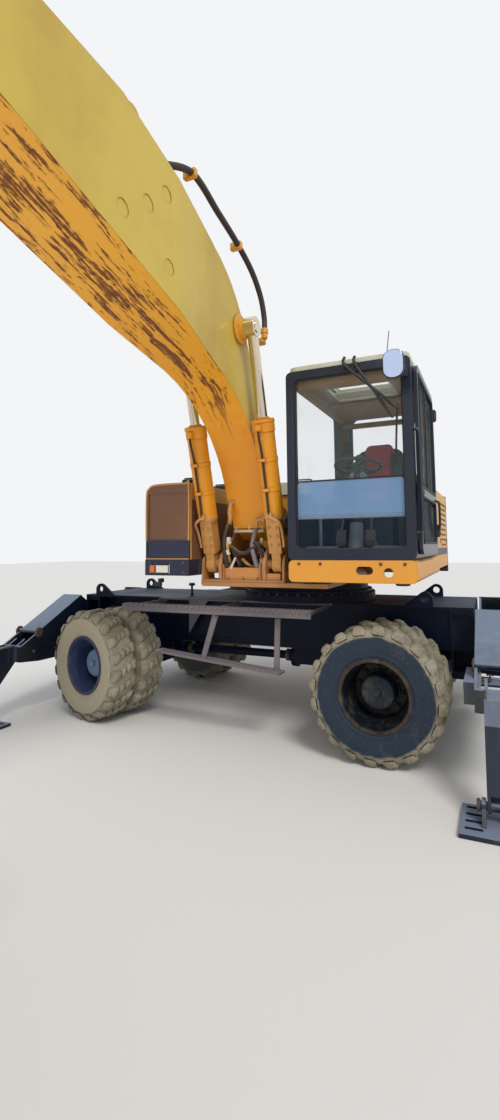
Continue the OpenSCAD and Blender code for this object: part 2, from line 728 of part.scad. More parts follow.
module cab_door() {
    z1 = cab_z + cab_h;
    color(navy) difference() {
        union() {
            along_x(door_x, door_x + 28) difference() {
                round_rect(-10, cab_z + 40, 1120, z1 - 40, 80);
                round_rect(60, 2120, 1050, z1 - 110, 60);
                round_rect(60, cab_z + 130, 1050, 2040, 60);
            }
            for (z = hinge_z) {
                translate([hinge_x, hinge_y, z]) cylinder(h = 90, r = 22);
                block(hinge_x - 8, door_x + 20, hinge_y, 30, z + 10, z + 80);
            }
        }
        for (z = hinge_z) translate([hinge_x, hinge_y, z - 1]) cylinder(h = 92, r = 10 + run_gap);
    }
}

module door_glass() {
    z1 = cab_z + cab_h;
    color("lightblue", 0.4) along_x(door_x + 10, door_x + 10 + glass_t) {
        round_rect(60 + seat_gap, 2120 + seat_gap, 1050 - seat_gap, z1 - 110 - seat_gap, 59);
        round_rect(60 + seat_gap, cab_z + 130 + seat_gap, 1050 - seat_gap, 2040 - seat_gap, 59);
    }
}

seat_mid = cab_x + cab_w / 2;
module seat() {
    color("darkred") {
        translate([seat_mid, 0, 0]) {
            along_x(-240, 240) round_rect(-20, 2020, 470, 2130, 50);
            along_x(-230, 230) translate([-20, 2100]) rotate(100) translate([6, -60]) round_rect(0, 0, 600, 120, 55);
        }
    }
}

module cab_controls() {
    x1 = cab_x + cab_w;
    color("dimgray") {
        block(seat_mid - 200, seat_mid + 200, 30, 420, cab_z + cab_t, 2019.7);
        for (s = [-1, 1]) {
            block(seat_mid + s * 300 - 45, seat_mid + s * 300 + 45, -60, 420, cab_z + cab_t, 2230);
            translate([seat_mid + s * 300, 340, 2229]) cylinder(h = 190, r = 18);
            translate([seat_mid + s * 300, 340, 2385]) cylinder(h = 60, r1 = 24, r2 = 32);
        }
        // Steering column and wheel
        block(seat_mid - 60, seat_mid + 60, 940, 1060, cab_z + cab_t, cab_z + cab_t + 40);
        translate([seat_mid, 1000, cab_z + cab_t]) rotate([12, 0, 0]) {
            translate([0, 0, 20]) cylinder(h = 752, r = 45);
            translate([0, 0, 750]) rotate_extrude() translate([190, 0]) circle(r = 16, $fn = 24);
            translate([0, 0, 752]) for (a = [0, 120, 240]) rotate([0, 0, a]) translate([0, -12, -8]) cube([190, 24, 16]);
        }
        for (s = [-1, 1]) block(seat_mid + s * 120 - 45, seat_mid + s * 120 + 45, 820, 1020, cab_z + cab_t, cab_z + 110);
    }
}

// Mirror before the cab's front left corner, on an arm
module cab_mirror() {
    z = cab_z + cab_h - 125;
    color(navy) {
        block(cab_x + 20, cab_x + 60, cab_front + seat_gap, cab_front + 20, z - 45, z + 45);
        bar_y(cab_front + 15, cab_front + 215, cab_x + 40, z, 10);
        along_y(cab_front + 205, cab_front + 235) round_rect(cab_x + 13, z - 115, cab_x + 171, z + 107, 70);
    }
}

// Indicator and headlamp in the skirt of the right platform
module front_lamps() {
    color("ivory") {
        block(upper_half - 126, upper_half - 69, 1180 + seat_gap, 1200, 1424, 1498);
        block(upper_half - 272, upper_half - 137, 1180 + seat_gap, 1200, 1424, 1498);
    }
}

module valve_and_hoses() {
    color("dimgray") {
        block(boom_x - 170, boom_x + 170, -420, 60, 1420 + seat_gap, 1640);
        for (i = [-2:2]) translate([boom_x + i * 64, -100, 1640 - 1]) cylinder(h = 70, r = 18);
    }
}

// Boom

// Side outline of the boom, with round bends under and above
under_c = [2225, 1684];
top_c = [2189, 3004];
arm_pivot = [5000, 4000];
arm_foot = [2750, 4430];
top_bend = top_c + bend_top_r * [cos(105), sin(105)];
top_end = [3100, 4235];
module boom_outline() {
    polygon(concat(
        arc(boom_foot[0], boom_foot[1], 165, 150, 290, 8),
        [[640, 1790], [850, 1960]],
        arc(under_c[0], under_c[1], bend_under_r, 164, 103.6, 9),
        [[4850, 3815]],
        arc(arm_pivot[0], arm_pivot[1], 135, 270, 450, 8),
        [top_end],
        arc(top_c[0], top_c[1], bend_top_r, 105, 149.5, 6),
        [[550, 2200]]));
}

// Plan outline of the boom, which widens past its foot
module boom_plan() {
    f = boom_foot_half;
    w = boom_half;
    t = boom_tip_half;
    b = boom_wide_half;
    translate([boom_x, 0]) polygon([[-f, 200], [f, 200], [f, 950], [w, 1900], [b, 2500], [b, 4200], [t, 4850],
        [t, 5200], [-t, 5200], [-t, 4850], [-b, 4200], [-b, 2500], [-w, 1900], [-f, 950]]);
}

boom_tip_half = 178;
rod_eye_half = 45;
// Round recesses in the boom's sides
recess = [[3090, 3550], [2850, 3720], [2650, 3900], [2620, 3430]];

module boom() {
    boss = boom_cyl_x - rod_eye_half - seat_gap;
    foot_bore = pin_r + 10 + run_gap;
    color(yellow) difference() {
        union() {
            difference() {
                intersection() {
                    along_x(boom_x - 300, boom_x + 300) boom_outline();
                    translate([0, 0, 1600]) linear_extrude(3000) boom_plan();
                }
                // Throat between the ears of the tip
                along_x(boom_x - arm_half - clear, boom_x + arm_half + clear)
                    polygon([[4720, 4300], [4520, 3600], [5300, 3600], [5300, 4300]]);
                for (p = recess, s = [-1, 1]) {
                    face = boom_x + s * boom_wide_half;
                    bar_x(face - 5, face + 5, p[0], p[1], 52);
                }
            }
            for (x = [boom_x - boss, boom_x + 120]) bar_x(x, x + boss - 120, cyl_head[0], cyl_head[1], 80);
            bar_x(boom_x - boom_tip_half - 12, boom_x + boom_tip_half + 12, arm_pivot[0], arm_pivot[1], pin_r);
            for (s = [-1, 1]) along_x(boom_x + s * 75 - 15, boom_x + s * 75 + 15)
                polygon(concat([[2560, 4100], [2940, 4180]], arc(arm_foot[0], arm_foot[1], 80, 20, 160, 6)));
        }
        bar_x(boom_x - 250, boom_x + 250, boom_foot[0], boom_foot[1], foot_bore);
        for (s = [-1, 1]) bar_x(boom_x + s * 75 - 16, boom_x + s * 75 + 16, arm_foot[0], arm_foot[1], pin_r + run_gap);
    }
}

module boom_hoses() {
    hose = 28;
    slope = atan2(top_end[1] - top_bend[1], top_end[0] - top_bend[0]);
    far = top_bend + 1000 * [cos(slope), sin(slope)];
    low = top_c + bend_top_r * [cos(149.5), sin(149.5)];
    drop = atan2(low[1] - 2200, low[0] - 550);
    near = [550, 2200] + 250 * [cos(drop), sin(drop)];
    up = [-sin(slope), cos(slope)];
    out = [-sin(drop), cos(drop)];
    color("#2B211C") for (x = [-40, 40]) along_x(boom_x + x - 14, boom_x + x + 14) polygon(concat(
        [near + seat_gap * out, near + hose * out],
        arc(top_c[0], top_c[1], bend_top_r + hose, 149.5, 105, 6),
        [far + hose * up, far + seat_gap * up],
        arc(top_c[0], top_c[1], bend_top_r + 2 * seat_gap, 105, 149.5, 6)));
}

// A pair of cylinder barrels from the feet, and their rods to the boom
boom_cyl_len = 1290;
boom_lug = 430;
module boom_cylinder_barrels() {
    color(yellow) for (s = [-1, 1]) between(boom_x + s * boom_cyl_x, cyl_foot, cyl_head) difference() {
        union() {
            rotate([0, 90, 0]) translate([0, 0, -42]) cylinder(h = 84, r = 80);
            block(-42, 42, -60, 60, 30, 130);
            block(-60, 60, -62, 62, 115, boom_lug + 10);
            translate([0, 0, boom_lug]) cylinder(h = boom_cyl_len - boom_lug, r = boom_cyl_r);
            translate([0, 0, boom_cyl_len - 110]) cylinder(h = 110, r = boom_cyl_r + 7);
        }
        rotate([0, 90, 0]) translate([0, 0, -50]) cylinder(h = 100, r = pin_r + run_gap);
        translate([0, 0, 160]) cylinder(h = boom_cyl_len, r = boom_rod_r + run_gap);
    }
}

module boom_cylinder_rods() {
    reach = norm(cyl_head - cyl_foot);
    color(steel) for (s = [-1, 1]) between(boom_x + s * boom_cyl_x, cyl_foot, cyl_head) {
        translate([0, 0, boom_cyl_len - 420]) cylinder(h = reach - boom_cyl_len + 420 - 60, r = boom_rod_r);
        translate([0, 0, reach]) rotate([0, 90, 0]) {
            translate([0, 0, -rod_eye_half]) cylinder(h = 2 * rod_eye_half, r = 85);
            translate([0, 0, s > 0 ? 0 : -rod_eye_half - 7]) cylinder(h = rod_eye_half + 7, r = 50);
        }
    }
}

// Arm. Its own coordinates run down the arm (a) and out from its back (b)
arm_dir = -75;
function arm_at(p) = [arm_pivot[0] + p[0] * cos(arm_dir) - p[1] * sin(arm_dir),
    arm_pivot[1] + p[0] * sin(arm_dir) + p[1] * cos(arm_dir)];
horn = [-435, 203];
horn_at = arm_at(horn);
bucket_foot = [150, 560];
rocker_at = [arm_len - 425, 60];
ear_len = 430;
ear_ang = 30;
plate_mid = 85;
plate_t = 44;

// Draws a profile in a and b in the plane of the arm, from x0 to x1 about the boom's middle
module in_arm(x0, x1) {
    translate([boom_x, arm_pivot[0], arm_pivot[1]]) rotate([arm_dir, 0, 0]) rotate([90, 0, 90])
        translate([0, 0, x0]) linear_extrude(x1 - x0) children();
}

// A round bar through the arm at p
module arm_bar(x0, x1, p, r) {
    in_arm(x0, x1) translate(p) circle(r = r);
}

module arm() {
    color(yellow) difference() {
        union() {
            in_arm(-arm_half, arm_half) polygon(concat(arc(0, 0, 170, 250, 180, 4), [[-180, 150], [60, 330],
                [330, 330], [arm_len - 80, 100]], arc(arm_len, 0, 90, 75, -75, 6), [[500, -230]]));
            for (s = [-1, 1]) in_arm(s * plate_mid - plate_t / 2, s * plate_mid + plate_t / 2)
                polygon(concat([[60, 320], [-100, 40]], arc(horn[0], horn[1], 90, 270, 110, 7),
                    arc(bucket_foot[0], bucket_foot[1], 85, 120, 0, 5), [[330, 320]]));
        }
        arm_bar(-200, 200, [0, 0], pin_r + run_gap);
        arm_bar(-200, 200, [arm_len, 0], pin_r - 5 + run_gap);
        arm_bar(-200, 200, rocker_at, pin_r - 10 + run_gap);
        arm_bar(-200, 200, bucket_foot, pin_r - 5 + run_gap);
    }
}

// A cylinder barrel along +Z with a round foot; the rod runs in its bore
module barrel(len, r, bore) {
    difference() {
        union() {
            rotate([0, 90, 0]) translate([0, 0, -foot_half]) cylinder(h = 2 * foot_half, r = 75);
            block(5 - foot_half, foot_half - 5, -45, 45, 30, 160);
            translate([0, 0, 140]) cylinder(h = len - 140, r = r);
            translate([0, 0, len - 110]) cylinder(h = 110, r = r + 12);
        }
        translate([0, 0, 190]) cylinder(h = len, r = bore + run_gap);
    }
}

// A rod whose eye lies at a distance, from a distance inside its barrel
module rod(from, reach, r, eye_r) {
    translate([0, 0, from]) cylinder(h = reach - from - eye_r / 2, r = r);
    translate([0, 0, reach]) rotate([0, 90, 0]) translate([0, 0, -50]) cylinder(h = 100, r = eye_r);
}

// Arm cylinder between the boom's top and the arm's horn
foot_half = 55;
arm_cyl_len = 1540;
arm_rod_r = 50;
module arm_cylinder_barrel() {
    color(yellow) {
        between(boom_x, arm_foot, horn_at) barrel(arm_cyl_len, 80, arm_rod_r);
        bar_x(boom_x - 100, boom_x + 100, arm_foot[0], arm_foot[1], pin_r);
    }
}

module arm_cylinder_rod() {
    color(steel) between(boom_x, arm_foot, horn_at) rod(arm_cyl_len - 900, norm(horn_at - arm_foot), arm_rod_r, 85);
}

// Bucket linkage: the rocker and the bucket's ear stay parallel
rocker_end = rocker_at + ear_len * [cos(ear_ang), sin(ear_ang)];
ear_at = [arm_len, 0] + ear_len * [cos(ear_ang), sin(ear_ang)];
bucket_cyl_len = 1300;
bucket_rod_r = 40;
link_pin_r = 34;

module bucket_cylinder_barrel() {
    color(yellow) {
        between(boom_x, arm_at(bucket_foot), arm_at(rocker_end)) barrel(bucket_cyl_len, 68, bucket_rod_r);
        arm_bar(-115, 115, bucket_foot, pin_r - 5);
    }
}

module bucket_cylinder_rod() {
    color(steel) between(boom_x, arm_at(bucket_foot), arm_at(rocker_end))
        rod(bucket_cyl_len - 390, norm(rocker_end - bucket_foot), bucket_rod_r, 70);
}

// A plate with round ends from p to q
module strap(p, q, r) {
    d = q - p;
    translate(p) rotate(atan2(d[1], d[0])) {
        circle(r = r);
        translate([norm(d), 0]) circle(r = r);
        translate([0, -r * 0.8]) square([norm(d), r * 1.6]);
    }
}

module rocker() {
    color(yellow) {
        for (s = [-1, 1]) {
            in_arm(s * 155 - 15, s * 155 + 15) strap(rocker_at, rocker_end, 70);
            arm_bar(s > 0 ? 60 : -170, s > 0 ? 170 : -60, rocker_end, link_pin_r);
        }
        arm_bar(-175, 175, rocker_at, pin_r - 10);
    }
}

module link() {
    color(yellow) difference() {
        for (s = [-1, 1]) in_arm(s * 105 - 25, s * 105 + 25) strap(rocker_end, ear_at, 66);
        arm_bar(-200, 200, rocker_end, link_pin_r + run_gap);
        arm_bar(-200, 200, ear_at, link_pin_r + run_gap);
    }
}

// Outside of the bucket's shell. Columns: distance from the bucket pin towards the ear, distance below
shell = [[-140, 150], [520, 150], [640, 190], [800, 330], [870, 520], [850, 740], [750, 930], [560, 1090],
    [300, 1190], [0, 1235], [-600, 1262]];
shell_mid = [-140, 700];

// Draws a profile given in the bucket's own distances, from x0 to x1
module in_bucket(x0, x1) {
    in_arm(x0, x1) translate([arm_len, 0]) rotate(ear_ang) mirror([0, 1]) children();
}

module bucket() {
    half = bucket_w / 2;
    inside = [for (i = [len(shell) - 1:-1:0]) shell_mid + [shell[i][0] - shell_mid[0], shell[i][1] - shell_mid[1]] * 0.95];
    color("#3A3430") {
        in_bucket(-half, half) polygon(concat(shell, [for (p = inside) p[0] < -580 ? [-600, p[1]] : p]));
        for (s = [-1, 1]) in_bucket(s > 0 ? half - 25 : -half, s > 0 ? half : 25 - half)
            polygon(concat(shell, [[-330, 700]]));
        for (s = [-1, 1]) in_bucket(s * 210 - 20, s * 210 + 20) {
            circle(r = 95);
            translate([ear_len, 0]) circle(r = 95);
            polygon([[-80, -30], [ear_len + 80, -30], [ear_len + 90, 160], [-110, 160]]);
        }
        for (i = [0:tooth_count - 1]) {
            x = -half + 60 + i * (bucket_w - 120) / (tooth_count - 1);
            in_bucket(x - 35, x + 35) polygon([[-540, 1222], [-540, 1275], [-620, 1275], [-760, 1262], [-620, 1222]]);
        }
        arm_bar(-240, 240, [arm_len, 0], pin_r - 5);
        arm_bar(-240, 240, ear_at, link_pin_r);
    }
}

chassis_frame();
slew_ring();
front_axle();
rear_axle();
driveline();
side_steps();
left_knuckle();
right_knuckle();
steering_rod();
front_left_tyres();
front_right_tyres();
rear_left_tyres();
rear_right_tyres();
front_left_rims();
front_right_rims();
rear_left_rims();
rear_right_rims();
front_left_leg();
front_right_leg();
rear_left_leg();
rear_right_leg();
upper_frame();
counterweight();
engine_hood();
engine();
right_tank();
engine_housings();
exhaust();
cab_shell();
cab_roof();
cab_glass();
cab_door();
door_glass();
seat();
cab_controls();
cab_mirror();
front_lamps();
valve_and_hoses();
boom();
boom_hoses();
boom_cylinder_barrels();
boom_cylinder_rods();
arm();
arm_cylinder_barrel();
arm_cylinder_rod();
bucket_cylinder_barrel();
bucket_cylinder_rod();
rocker();
link();
bucket();
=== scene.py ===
"""Looks of a wheeled excavator with twin tyres, four outriggers and a one-piece boom.

Everything is in metres in the machine's own frame: the origin is on the ground under the
slewing axis, +X points to the steered axle, +Y to the left of the chassis and +Z up.
"""

import logging
import math
from dataclasses import dataclass, field
from enum import Enum
from typing import Iterable, Optional, Sequence, Union

import bmesh
import bpy
from mathutils import Matrix, Vector, noise


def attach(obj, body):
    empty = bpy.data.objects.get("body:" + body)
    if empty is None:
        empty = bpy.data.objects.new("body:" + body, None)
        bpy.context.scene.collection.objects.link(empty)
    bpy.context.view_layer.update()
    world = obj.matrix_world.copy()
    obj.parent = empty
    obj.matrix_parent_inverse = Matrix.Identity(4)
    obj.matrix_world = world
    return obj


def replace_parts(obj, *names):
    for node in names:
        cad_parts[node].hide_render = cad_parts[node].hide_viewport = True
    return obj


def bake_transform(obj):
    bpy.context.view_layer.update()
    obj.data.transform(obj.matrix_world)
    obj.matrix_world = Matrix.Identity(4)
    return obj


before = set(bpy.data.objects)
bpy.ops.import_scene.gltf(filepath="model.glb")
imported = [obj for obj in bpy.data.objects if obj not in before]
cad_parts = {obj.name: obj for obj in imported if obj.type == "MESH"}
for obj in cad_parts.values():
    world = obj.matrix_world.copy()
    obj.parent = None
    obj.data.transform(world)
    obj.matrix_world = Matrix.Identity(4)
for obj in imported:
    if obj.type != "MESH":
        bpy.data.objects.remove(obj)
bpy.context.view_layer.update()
LOG = logging.getLogger("excavator")

Point = tuple[float, float, float]
Flat = tuple[float, float]
Spot = Union[Point, Vector]
Operand = Union["Channel", float]
Colour = Union["Channel", Sequence[float]]

AHEAD, LEFT, UP = (1, 0, 0), (0, 1, 0), (0, 0, 1)
FULL_TURN = 2 * math.pi
NOISE_ROUGHNESS = 0.62
FINE_DETAIL = 7.0
EDGE_SAMPLES = 3


class Slot(Enum):
    """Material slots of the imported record."""

    NAVY = "navy_paint"
    YELLOW = "yellow_paint"
    CREAM = "cream_paint"
    CHROME = "rod_chrome"
    STEEL = "worn_steel"
    ENGINE = "cast_engine"
    TYRE = "tyre_rubber"
    HOSE = "hose_rubber"
    GLASS = "window_glass"
    FABRIC = "seat_fabric"
    PLASTIC = "dark_plastic"


class Axis(Enum):
    """Axis along which an outline is drawn out; an outline's two numbers are the other two, in order."""

    X = 0
    Y = 1
    Z = 2


def tint(code: str) -> tuple[float, float, float, float]:
    """Linear red, green, blue and alpha of a screen colour such as '#D9982A'."""
    parts = (int(code[i:i + 2], 16) / 255 for i in (1, 3, 5))
    return (*(p / 12.92 if p <= 0.04045 else ((p + 0.055) / 1.055) ** 2.4 for p in parts), 1.0)


def darker(code: str, share: float) -> list[float]:
    """Linear colour of a screen colour with only a share of its light."""
    return [c * share for c in tint(code)[:3]] + [1.0]


# Shader expressions


class Channel:
    """An output of a material's nodes that takes part in arithmetic."""

    def __init__(self, graph: "Graph", socket: bpy.types.NodeSocket) -> None:
        """Wraps a socket of a graph."""
        self.graph = graph
        self.socket = socket

    def __add__(self, other: Operand) -> "Channel":
        """Sum of two values."""
        return self.graph.math("ADD", self, other)

    def __sub__(self, other: Operand) -> "Channel":
        """Difference of two values."""
        return self.graph.math("SUBTRACT", self, other)

    def __rsub__(self, other: Operand) -> "Channel":
        """Difference from a plain number."""
        return self.graph.math("SUBTRACT", other, self)

    def __mul__(self, other: Operand) -> "Channel":
        """Product of two values."""
        return self.graph.math("MULTIPLY", self, other)

    __radd__ = __add__
    __rmul__ = __mul__

    def most(self, other: Operand) -> "Channel":
        """The larger of two values."""
        return self.graph.math("MAXIMUM", self, other)

    def size(self) -> "Channel":
        """The value without its sign."""
        return self.graph.math("ABSOLUTE", self, 0.0)

    def between(self, low: float, high: float) -> "Channel":
        """A smooth step from 0 at low to 1 at high."""
        return self.graph.channel("ShaderNodeMapRange", {"interpolation_type": "SMOOTHSTEP"},
                                  {0: self, 1: low, 2: high, 3: 0.0, 4: 1.0})


class Graph:
    """The node tree of one material."""

    def __init__(self, name: str) -> None:
        """Starts an empty material with the coordinates of the machine's frame.

        Args:
            name: The material's name.
        """
        self.material = bpy.data.materials.new(name)
        self.material.use_nodes = True
        self.tree = self.material.node_tree
        self.tree.nodes.clear()
        source = self.node("ShaderNodeTexCoord")
        self.place = Channel(self, source.outputs["Object"])
        facing = Channel(self, source.outputs["Normal"])
        self.x, self.y, self.z = self.split(self.place)
        self.out_x, self.out_y, self.up = self.split(facing)

    def node(self, kind: str, settings: Optional[dict] = None,
             inputs: Optional[dict] = None) -> bpy.types.Node:
        """Adds a node.

        Args:
            kind: The node's type.
            settings: Properties that are set first.
            inputs: Values or channels by socket name or number.

        Returns:
            The new node.
        """
        made = self.tree.nodes.new(kind)
        for key, value in (settings or {}).items():
            setattr(made, key, value)
        for key, value in (inputs or {}).items():
            if isinstance(value, Channel):
                self.tree.links.new(value.socket, made.inputs[key])
            else:
                made.inputs[key].default_value = value
        return made

    def channel(self, kind: str, settings: Optional[dict] = None, inputs: Optional[dict] = None,
                port: Union[int, str] = 0) -> Channel:
        """Adds a node, as above, and gives the output at a port."""
        return Channel(self, self.node(kind, settings, inputs).outputs[port])

    def math(self, operation: str, a: Operand, b: Operand) -> Channel:
        """A Math node on two values."""
        return self.channel("ShaderNodeMath", {"operation": operation}, {0: a, 1: b})

    def vector_math(self, operation: str, inputs: dict, port: Union[int, str] = 0) -> Channel:
        """A Vector Math node on its inputs, and the output at a port."""
        return self.channel("ShaderNodeVectorMath", {"operation": operation}, inputs, port)

    def split(self, vector: Channel) -> tuple[Channel, ...]:
        """The three parts of a vector."""
        made = self.node("ShaderNodeSeparateXYZ", None, {0: vector})
        return tuple(Channel(self, made.outputs[i]) for i in range(3))

    def mix(self, share: Operand, a: Colour, b: Colour) -> Channel:
        """Colour a where share is 0 and colour b where it is 1."""
        return self.channel("ShaderNodeMix", {"data_type": "RGBA"}, {0: share, 6: a, 7: b}, 2)

    def blotches(self, scale: float, stretch: Point = (1, 1, 1), detail: float = 5.0) -> Channel:
        """Cloudy noise from 0 to 1.

        Args:
            scale: Number of clouds in a metre.
            stretch: How many times closer the clouds lie along each axis.
            detail: Levels of finer noise.

        Returns:
            A channel around one half.
        """
        place = self.channel("ShaderNodeMapping", None, {"Vector": self.place, "Scale": stretch})
        return self.channel("ShaderNodeTexNoise", None, {
            "Vector": place, "Scale": scale, "Detail": detail, "Roughness": NOISE_ROUGHNESS})

    def rounding(self, radius: float) -> tuple[Channel, Channel]:
        """Rounded normals and a mask of the edges.

        Args:
            radius: Radius of the edges in metres.

        Returns:
            The rounded normal, and a channel that is above 0 near edges.
        """
        bevel = self.channel("ShaderNodeBevel", {"samples": EDGE_SAMPLES}, {"Radius": radius})
        flat = self.channel("ShaderNodeNewGeometry", port="Normal")
        return bevel, 1.0 - self.vector_math("DOT_PRODUCT", {0: bevel, 1: flat}, "Value")

    def hollows(self, reach: float) -> Channel:
        """A mask of corners and hollows within a reach in metres."""
        return 1.0 - self.channel("ShaderNodeAmbientOcclusion", {"samples": EDGE_SAMPLES, "only_local": True},
                                  {"Distance": reach}, "AO")

    def axle_distance(self, centre: Point, axis: Point) -> Channel:
        """Distance in metres from the line through a centre along an axis of length 1."""
        arm = self.vector_math("SUBTRACT", {0: self.place, 1: centre})
        return self.vector_math("LENGTH", {0: self.vector_math("CROSS_PRODUCT", {0: arm, 1: axis})}, "Value")

    def inside(self, low: Point, high: Point) -> Channel:
        """A mask of a box.

        Args:
            low: Its lowest corner.
            high: Its highest corner.

        Returns:
            1 in the box and 0 outside it.
        """
        mask: Operand = 1.0
        for value, a, b in zip((self.x, self.y, self.z), low, high):
            over = self.math("GREATER_THAN", value, a)
            under = self.math("LESS_THAN", value, b)
            mask = over * under * mask
        return mask

    def surface(self, inputs: dict, height: Optional[Channel] = None, depth: float = 0.001,
                normal: Optional[Channel] = None) -> bpy.types.Material:
        """Finishes the material with a Principled shader.

        Args:
            inputs: Values or channels of the shader's sockets.
            height: Relief, from 0 to 1.
            depth: Depth of the relief in metres.
            normal: Normal under the relief.

        Returns:
            The material.
        """
        shader = self.node("ShaderNodeBsdfPrincipled", None, inputs)
        if height is not None:
            ports = {"Height": height, "Distance": depth, "Strength": 1.0}
            if normal is not None:
                ports["Normal"] = normal
            normal = self.channel("ShaderNodeBump", None, ports)
        if normal is not None:
            self.tree.links.new(normal.socket, shader.inputs["Normal"])
        output = self.node("ShaderNodeOutputMaterial")
        self.tree.links.new(shader.outputs[0], output.inputs[0])
        return self.material


# Finishes


@dataclass(frozen=True)
class Finish:
    """A surface finish that is made into a material once."""

    name: str
    slot: Slot

    def shade(self, g: Graph) -> None:
        """Makes the material's nodes in a graph."""
        raise NotImplementedError

    def material(self) -> bpy.types.Material:
        """The finish's material.

        Returns:
            The material, made at its first use.
        """
        name = f"{self.name}_finish"
        if name not in bpy.data.materials:
            self.shade(Graph(name))
        return bpy.data.materials[name]


@dataclass(frozen=True)
class Paint(Finish):
    """Weathered paint: faded in patches, chipped to rust on edges, dusty on top."""

    colour: str = "#D9962B"
    faded: str = "#D2A93A"
    chip: str = "#5A3220"
    dust: str = "#A09783"
    dustiness: float = 0.45
    wear: float = 0.35
    sheen: float = 0.42
    edge: float = 0.006
    ior: float = 1.48
    deep_rust: str = "#3A2216"
    film: float = 0.0006

    def tone(self, g: Graph) -> Channel:
        """Colour of the sound paint, in a graph."""
        return g.mix(g.blotches(1.1).between(0.35, 0.68), tint(self.colour), tint(self.faded))

    def bare(self, g: Graph, edges: Channel, fine: Channel) -> Channel:
        """Where the paint is gone, from 0 to 1, by a graph's edges and fine noise."""
        worn = edges.between(0.02, 0.2) * (self.wear * 0.9) + fine * 0.62 + g.blotches(2.6) * 0.25
        return worn.between(0.66, 0.74)

    def shade(self, g: Graph) -> None:
        """Draws paint, chips, runs and dust.

        Args:
            g: The material's graph.
        """
        normal, edges = g.rounding(self.edge)
        fine = g.blotches(26.0, detail=FINE_DETAIL)
        runs = g.blotches(1.6, (7, 7, 0.5))
        bare = self.bare(g, edges, fine)
        hollow = g.hollows(0.07).between(0.15, 0.75)
        settled = g.up.between(0.25, 0.85) * (g.blotches(3.2) * 0.9 + self.dustiness).between(0.45, 0.95)
        powder = (settled.most(hollow * 0.45) * (self.dustiness + 0.3)
                  + runs.between(0.55, 0.8) * (0.3 * self.dustiness))
        colour = g.mix(bare, self.tone(g), g.mix(fine, tint(self.chip), tint(self.deep_rust)))
        colour = g.mix(powder, colour, tint(self.dust))
        rough = (self.sheen + bare * 0.35 + powder * 0.4 + fine * 0.12).between(-0.05, 1.1)
        g.surface({"Base Color": colour, "Roughness": rough, "IOR": self.ior},
                  1.0 - bare + fine * 0.12, self.film, normal)


@dataclass(frozen=True)
class BoomPaint(Paint):
    """Boom paint: side faces in paler lemon, a painted sky reflection; an orange underside scraped along it.
    """

    # Lemon of the side faces is a painted sky reflection, picked by which way a face points
    side: str = "#D2B74C"
    side_dark: str = "#BFA040"
    golden: str = "#DDA42E"
    # Scrapes: spots in a metre across and along the underside, and scale of the noise
    scrapes: tuple[Point, ...] = ((13.0, 1.1, 1.3), (26.0, 2.4, 1.7))

    def tone(self, g: Graph) -> Channel:
        """Draws paler lemon on the side faces as a painted sky reflection, orange under and on top.

        Args:
            g: The material's graph.

        Returns:
            The colour.
        """
        flank = g.mix(g.blotches(0.9).between(0.35, 0.7), tint(self.side), tint(self.side_dark))
        belly = g.mix(g.blotches(0.8).between(0.3, 0.7), tint(self.colour), tint(self.faded))
        belly = g.mix(g.z.between(2.5, 3.3) * 0.8, belly, tint(self.golden))
        # Faces that point sideways take the lemon: painted sky reflection
        return g.mix(g.out_x.size().between(0.6, 0.9), belly, flank)

    def bare(self, g: Graph, edges: Channel, fine: Channel) -> Channel:
        """Draws long scrapes on the underside, and chipped edges.

        Args:
            g: The material's graph.
            edges: Mask of the edges.
            fine: Fine noise.

        Returns:
            1 where the paint is gone.
        """
        along = g.y + g.z * 0.8
        wander = g.x + g.blotches(0.9, detail=2.0) * 0.12
        layers = []
        for across, lengthways, scale in self.scrapes:
            spot = g.channel("ShaderNodeCombineXYZ", None, {0: wander * across, 1: along * lengthways})
            layers.append(g.channel("ShaderNodeTexNoise", None, {
                "Vector": spot, "Scale": scale, "Detail": 9.0, "Roughness": 0.7}))
        belly = (g.out_y - g.up).between(0.55, 1.0) * (1.0 - g.out_x.size().between(0.3, 0.6))
        middle = 1.0 - (g.x - 0.33).size().between(0.03, 0.2)
        rim = (g.x - 0.3).size().between(0.17, 0.25)
        reach = g.z.between(2.3, 3.4)
        worn = (layers[0] * 0.62 + layers[1] * 0.38 + fine * 0.10 + middle * 0.055 + rim * 0.02
                + reach * 0.05)
        scraped = worn.between(0.632, 0.665) * belly * g.z.between(2.5, 3.0)
        return scraped.most(super().bare(g, edges, fine))


@dataclass(frozen=True)
class ZonedPaint(Paint):
    """Paint with a second colour inside some boxes, each with its own colour."""

    zones: tuple[tuple[Point, Point, str], ...] = ()

    def tone(self, g: Graph) -> Channel:
        """Draws the paint's colour, then each zone's.

        Args:
            g: The material's graph.

        Returns:
            The colour.
        """
        colour = super().tone(g)
        for low, high, code in self.zones:
            patch = g.mix(g.blotches(2.0).between(0.3, 0.7), tint(code), darker(code, 0.82))
            colour = g.mix(g.inside(low, high), colour, patch)
        return colour


